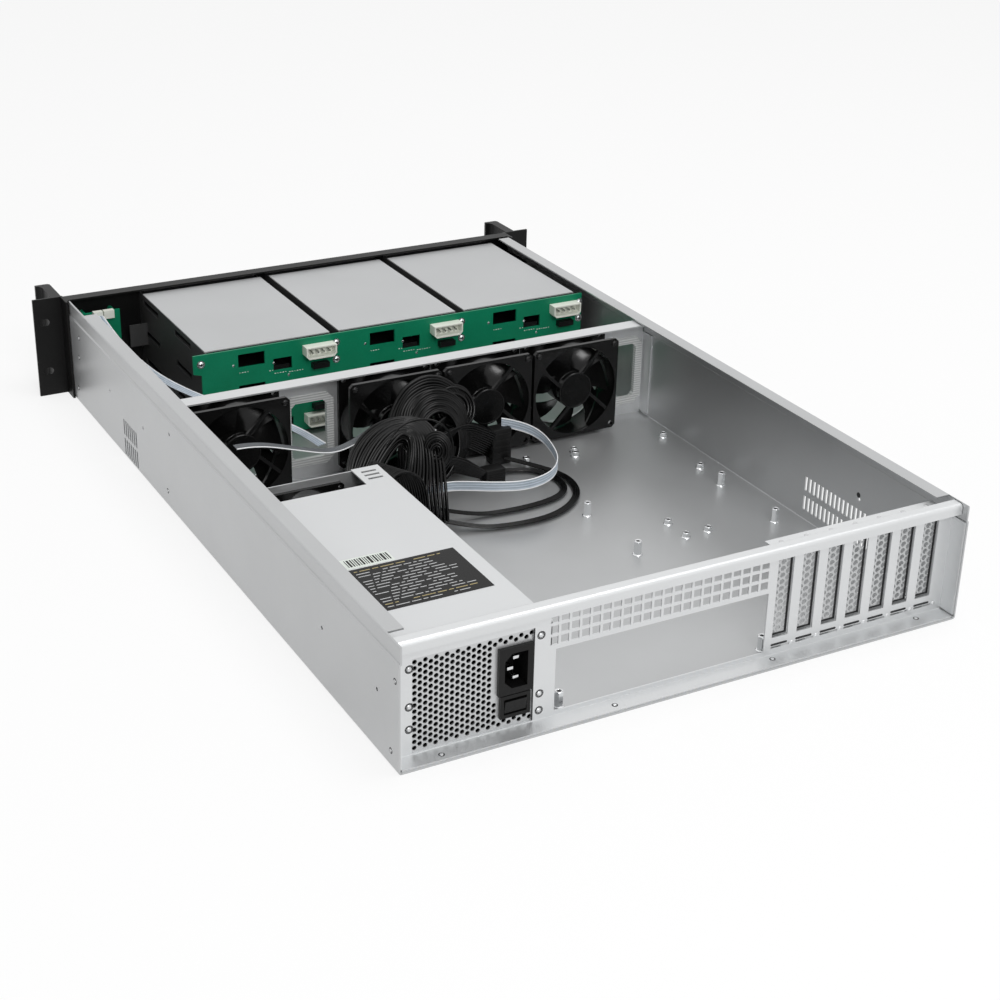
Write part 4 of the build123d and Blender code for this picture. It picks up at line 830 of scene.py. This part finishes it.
class Wires:
    """Round wires gathered in one curve, in millimetres."""

    def __init__(self, radius, finishes=(), steps=7, sides=2):
        self.curve = bpy.data.curves.new("wires", "CURVE")
        self.curve.dimensions = "3D"
        self.curve.resolution_u = steps
        self.curve.bevel_depth = radius
        self.curve.bevel_resolution = sides
        self.curve.use_fill_caps = True
        for finish in finishes:
            self.curve.materials.append(finish.material)

    def lay(self, route, finish=0, closed=False):
        """One wire whose control points are the route."""
        spline = self.curve.splines.new("NURBS")
        spline.points.add(len(route) - 1)
        for point, at in zip(spline.points, route):
            point.co = (*at, 1)
        spline.order_u = 3
        spline.use_cyclic_u = closed
        spline.use_endpoint_u = not closed
        spline.material_index = finish

    def lay_band(self, route, spreads, count, rows=1, lifts=None, waver=0.0):
        """Rows of wires side by side. At each point of the route they lie along that point's spread, and
        the rows along its lift. They waver a little, each in its own way."""
        lifts = lifts or [(0, 0, 0)] * len(route)
        for row in range(rows):
            for number in range(count):
                share = number / (count - 1) - 0.5 + (0.5 / count if row % 2 else 0)
                depth = row / (rows - 1) - 0.5 if rows > 1 else 0
                wire = []
                for step, (point, spread, lift) in enumerate(zip(route, spreads, lifts)):
                    sway = 0.6 * waver * math.sin(2.1 * step + 1.9 * number + 2.7 * row)
                    place = Vector(point) + Vector(spread) * share + Vector(lift) * depth
                    wire.append(place + Vector((sway, sway, sway)))
                self.lay(wire)

    def wind(self, centre, across, upwards, radii, tall, drift):
        """Closed rings of wire about an eye, each a little off the last."""
        for number, radius in enumerate(radii):
            middle = Vector(centre) + Vector(drift) * math.sin(2.3 * number)
            wide = Vector(across) * radius * 1.08
            high = Vector(upwards) * radius * 1.08 * tall
            angles = [2 * math.pi * (step + 0.37 * number) / 8 for step in range(8)]
            self.lay([middle + wide * math.cos(a) + high * math.sin(a) for a in angles], closed=True)

    def mesh(self):
        """The wires as one mesh, in place of their curve."""
        holder = bpy.data.objects.new("wires", self.curve)
        made = bpy.data.meshes.new_from_object(holder)
        bpy.data.objects.remove(holder)
        bpy.data.curves.remove(self.curve)
        return made

    def piece(self, name, node, slot="black_cable"):
        """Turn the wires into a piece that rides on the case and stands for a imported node."""
        mesh = self.mesh()
        mesh.name = name
        mesh.transform(Matrix.Scale(mm, 4))
        mesh.shade_smooth()
        mesh.set_sharp_from_angle(angle=math.radians(60))
        made = bpy.data.objects.new(name, mesh)
        bpy.context.scene.collection.objects.link(made)
        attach(made, "case")
        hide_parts(node)
        return made


def centreline(route):
    """Points along the smooth curve that has the route as its control points, in metres."""
    probe = Wires(0.0, steps=10)
    probe.curve.use_fill_caps = False
    probe.lay(route)
    mesh = probe.mesh()
    points = [tuple(vert.co * mm) for vert in mesh.vertices]
    bpy.data.meshes.remove(mesh)
    return points


def declare(piece, route):
    """Works out the route's smooth centreline and its first point in metres, and keeps neither."""
    path = centreline(route)
    [c * mm for c in route[0]]


trunk_route = [
    (117.5, 57.5, 34), (111, 40, 44), (96, 20, 56), (76, 4, 64), (56, -2, 67), (44, 6, 62), (50, 26, 46),
    (58, 38, 28), (56, 44, 9),
]
trunk_spreads = [
    (10, 0, 10), (12, -10, 8), (16, -14, 8), (10, -22, 4), (-8, -26, 2), (-24, -16, 6), (-33, -8, 4),
    (-36, 4, 0), (-28, 6, 0),
]
trunk_lifts = [
    (5, 4, -6), (5, 4, 6), (4, 3, 7), (0, 0, 8), (-3, -2, 7), (-4, 2, 7), (0, 7, 5), (0, 7, 3), (0, 7, 2),
]
arch = Wires(1.15, [wire_black])
arch.lay_band(trunk_route, trunk_spreads, 12, 3, trunk_lifts, waver=1.1)
declare(arch.piece("harness_arch", "harness_trunk"), trunk_route)

coil = Wires(1.25, [wire_black])
left_lobe = [
    (56, -2, 56), (45, -28, 50), (40, -40, 62), (25, -48, 74), (3, -51, 77), (-12, -46, 68), (-14, -39, 54),
    (4, -36, 46), (22, -26, 42),
]
left_spreads = [
    (-6, 8, -8), (-12, 6, 4), (-16, 4, 4), (-10, 4, -12), (-2, 7, -15), (9, 5, -10), (12, 3, 4), (2, 4, 12),
    (-4, 4, 12),
]
coil.lay_band(left_lobe, left_spreads, 8, 2, [(2, 5, 3)] * len(left_lobe), waver=0.8)
inner_lobe = [
    (40, -20, 6), (36, -24, 26), (32, -30, 46), (24, -38, 62), (6, -42, 68), (-10, -38, 60), (-14, -30, 40),
    (-8, -24, 18), (10, -20, 8),
]
inner_spreads = [
    (-14, 6, 0), (-18, 6, 4), (-18, 8, 6), (-8, 8, -12), (0, 8, -16), (12, 8, -10), (14, 8, 0), (10, 8, 8),
    (0, 8, 8),
]
coil.lay_band(inner_lobe, inner_spreads, 11, 3, [(3, 8, 3)] * len(inner_lobe), waver=0.9)
lobe_up = (0, -0.447, 0.894)
coil.wind((-12, -43, 60), (-1, 0, 0), lobe_up, (6.5, 9, 11.5, 14), 1.0, (0.8, 2.0, 1.0))
coil.wind((-10, -39, 58), (-1, 0.1, 0), lobe_up, (8, 10.5, 13, 15.5), 1.05, (1.0, 2.0, 1.0))
coil.piece("harness_coil", "harness_hank")

# Thinner wires of the same bundle are wound up in a small eye in front of the coil, with one wire
# thrown round it. A broad band of them goes down to the floor, and two bands lead to the plugs.
leads = Wires(0.8, [wire_black])
eye_across = (-0.88, 0.47, 0.05)
eye_up = (-0.1, -0.28, 0.95)
leads.wind((38, 23, 55), eye_across, eye_up, (3.2, 4.8, 6.2, 7.6, 9.0, 10.2), 1.25, (0.4, 1.2, 0.3))
leads.wind((36, 18, 53), eye_across, eye_up, (6, 8, 10, 11.6), 1.25, (0.6, 1.5, 0.4))
thrown_wire = [
    (77, 18, 66), (66, 14, 77), (50, 12, 79), (33, 11, 75), (20, 9, 63), (15, 8, 46), (20, 7, 30),
    (30, 4, 16),
]
leads.lay(thrown_wire)
for route, spreads, lifts, count, rows in (
    (
        [(108, 50, 32), (98, 40, 47), (82, 28, 54), (70, 32, 46), (70, 42, 24), (70, 46, 6)],
        [(6, -6, 6), (10, -10, 8), (16, -14, 8), (24, -10, 4), (28, -4, 0), (26, 0, 0)],
        [(2, 2, 4), (3, 3, 5), (2, 4, 5), (0, 5, 3), (0, 6, 2), (0, 6, 1)], 16, 3,
    ),
    (
        [(18, -20, 40), (2, -26, 40), (-16, -32, 37), (-32, -38, 27), (-44, -41, 18)],
        [(0, 4, 9), (0, 5, 15), (0, 7, 21), (0, 9, 24), (0, 9, 25)],
        [(3, 4, 0), (3, 5, 0), (3, 5, 0), (2, 5, 0), (0, 4, 0)], 12, 2,
    ),
    (
        [(24, -16, 30), (10, -16, 22), (-4, -16, 18), (-14, -14, 12), (-22, -12, 8)],
        [(0, 4, 10), (0, 5, 14), (0, 7, 14), (0, 9, 11), (0, 9, 9)],
        [(3, 3, 0), (3, 3, 0), (3, 3, 0), (2, 2, 0), (0, 2, 0)], 11, 2,
    ),
):
    leads.lay_band(route, spreads, count, rows, lifts, waver=0.5)
leads.piece("harness_leads", "harness_hank")

# The bundle ends in two black plugs of moulded plastic, with rows of ribs on two of their sides. The
# larger one stands beside the coil.
plug_foot = 1.5
half_length = 8.5
half_depth = 6
rib_count = 5
plugs = Shape()
for x, y, height in ((-51.5, -42, 31.0), (-29.5, -11, 12.5)):
    side = x + half_length
    rear = y + half_depth
    plugs.block((x - half_length, y - half_depth, plug_foot), (side, rear, plug_foot + height), 0.7)
    ribbed = height - 4
    for i in range(rib_count):
        z = 4.0 + i * ribbed / rib_count
        rib_top = z + ribbed / 9
        plugs.block((side - 0.2, y - 5.2, z), (side + 0.5, y + 5.2, rib_top), 0.2)
        plugs.block((x - 7.4, rear - 0.2, z), (x + 7.4, rear + 0.4, rib_top), 0.2)
plugs.piece("harness_plug_bodies", [socket_black], "case", ("harness_plugs",), "black_plastic")


# Two flat cables run from the foot of the arch to the plugs, in wide loops on the floor. Each is
# a band of stiff wires, side by side.
def crosswise(route, width):
    """At each point of a route, the level vector of that width that lies across it."""
    vectors = []
    for before, after in zip([route[0], *route[:-1]], [*route[1:], route[-1]]):
        along = (Vector(after) - Vector(before)).normalized()
        vectors.append(tuple(Vector((-along.y, along.x, 0)).normalized() * width))
    return vectors


floor_route_1 = [
    (46, 46, 9), (22, 61, 3.6), (-8, 68, 3.6), (-38, 67.5, 3.6), (-62, 57, 3.6), (-80, 38, 3.6),
    (-86, 11, 3.6), (-76, -14, 3.6), (-54, -36, 7),
]
floor_route_2 = [
    (40, 36, 12), (14, 41, 3.6), (-16, 45, 3.6), (-45, 44, 3.6), (-67, 37, 3.6), (-77, 20, 3.6),
    (-74, -2, 3.6), (-60, -18, 3.6), (-40, -20, 5),
]
for number, route in enumerate((floor_route_1, floor_route_2), start=1):
    band = Wires(0.76, [wire_black])
    band.lay_band(route, crosswise(route, 4.5), 4, waver=0.12)
    declare(band.piece(f"floor_band_{number}", f"floor_cable_{number}"), route)


# The three ribbons are flat cables of eight wires each, with a white wire along one or both edges.
# Two are pale grey and one is dark. One stands on edge in a loop, and two arch across the case.
def ribbon_finish(name, low, high):
    """Soft plastic of a flat cable, between two near tones."""
    plastic = Finish(name)
    plastic.surface(Base_Color=plastic.between(plastic.grain(120), low, high), Roughness=0.38)
    return plastic


ribbon_grey = ribbon_finish("ribbon_grey", (0.3, 0.36, 0.42), (0.42, 0.48, 0.54))
ribbon_pale = ribbon_finish("ribbon_pale", (0.5, 0.57, 0.64), (0.62, 0.68, 0.75))
ribbon_white = ribbon_finish("ribbon_white", (0.78, 0.79, 0.8), (0.9, 0.91, 0.92))
ribbon_dark = ribbon_finish("ribbon_dark", (0.05, 0.055, 0.06), (0.09, 0.1, 0.11))
ribbon_tones = [ribbon_grey, ribbon_pale, ribbon_white, ribbon_dark]
loop_route = [
    (50, 24, 24), (30, 23, 24), (14, 30, 24), (-4, 43, 25), (-26, 51, 25), (-50, 45, 25), (-67, 28, 25.5),
    (-76, 4, 26), (-78, -20, 29), (-68, -36, 33), (-54, -43, 35.5),
]
panel_route = [
    (186, -9.7, 73.5), (170, -9.7, 73.5), (140, -9.7, 64), (112, -9.7, 55), (94, -9.7, 58), (78, -9.7, 66),
    (62, -9.7, 69), (44, -9.7, 66), (24, -9.7, 58),
]
cage_route = [
    (191.5, -314.5, 74), (190, -286, 66), (184, -240, 58), (178, -190, 58), (156, -150, 52), (124, -122, 44),
    (102, -92, 40), (94, -64, 36),
]
ribbon_width = 7.4
strand = 0.47
for node, route, spreads, tones in (
    ("loop_ribbon", loop_route, [(0, 0, -ribbon_width)] * len(loop_route), (2, 0, 1, 0, 1, 0, 1, 2)),
    ("panel_ribbon", panel_route, crosswise(panel_route, ribbon_width), (2, 3, 3, 3, 3, 3, 3, 3)),
    ("cage_ribbon", cage_route, crosswise(cage_route, ribbon_width), (1, 0, 1, 0, 1, 0, 1, 2)),
):
    ribbon = Wires(strand, ribbon_tones)
    for number, tone in enumerate(tones):
        share = number / (len(tones) - 1) - 0.5
        wire = [Vector(point) + Vector(spread) * share for point, spread in zip(route, spreads)]
        ribbon.lay(wire, tone)
    declare(ribbon.piece(f"{node}_wires", node, "grey_ribbon"), route)
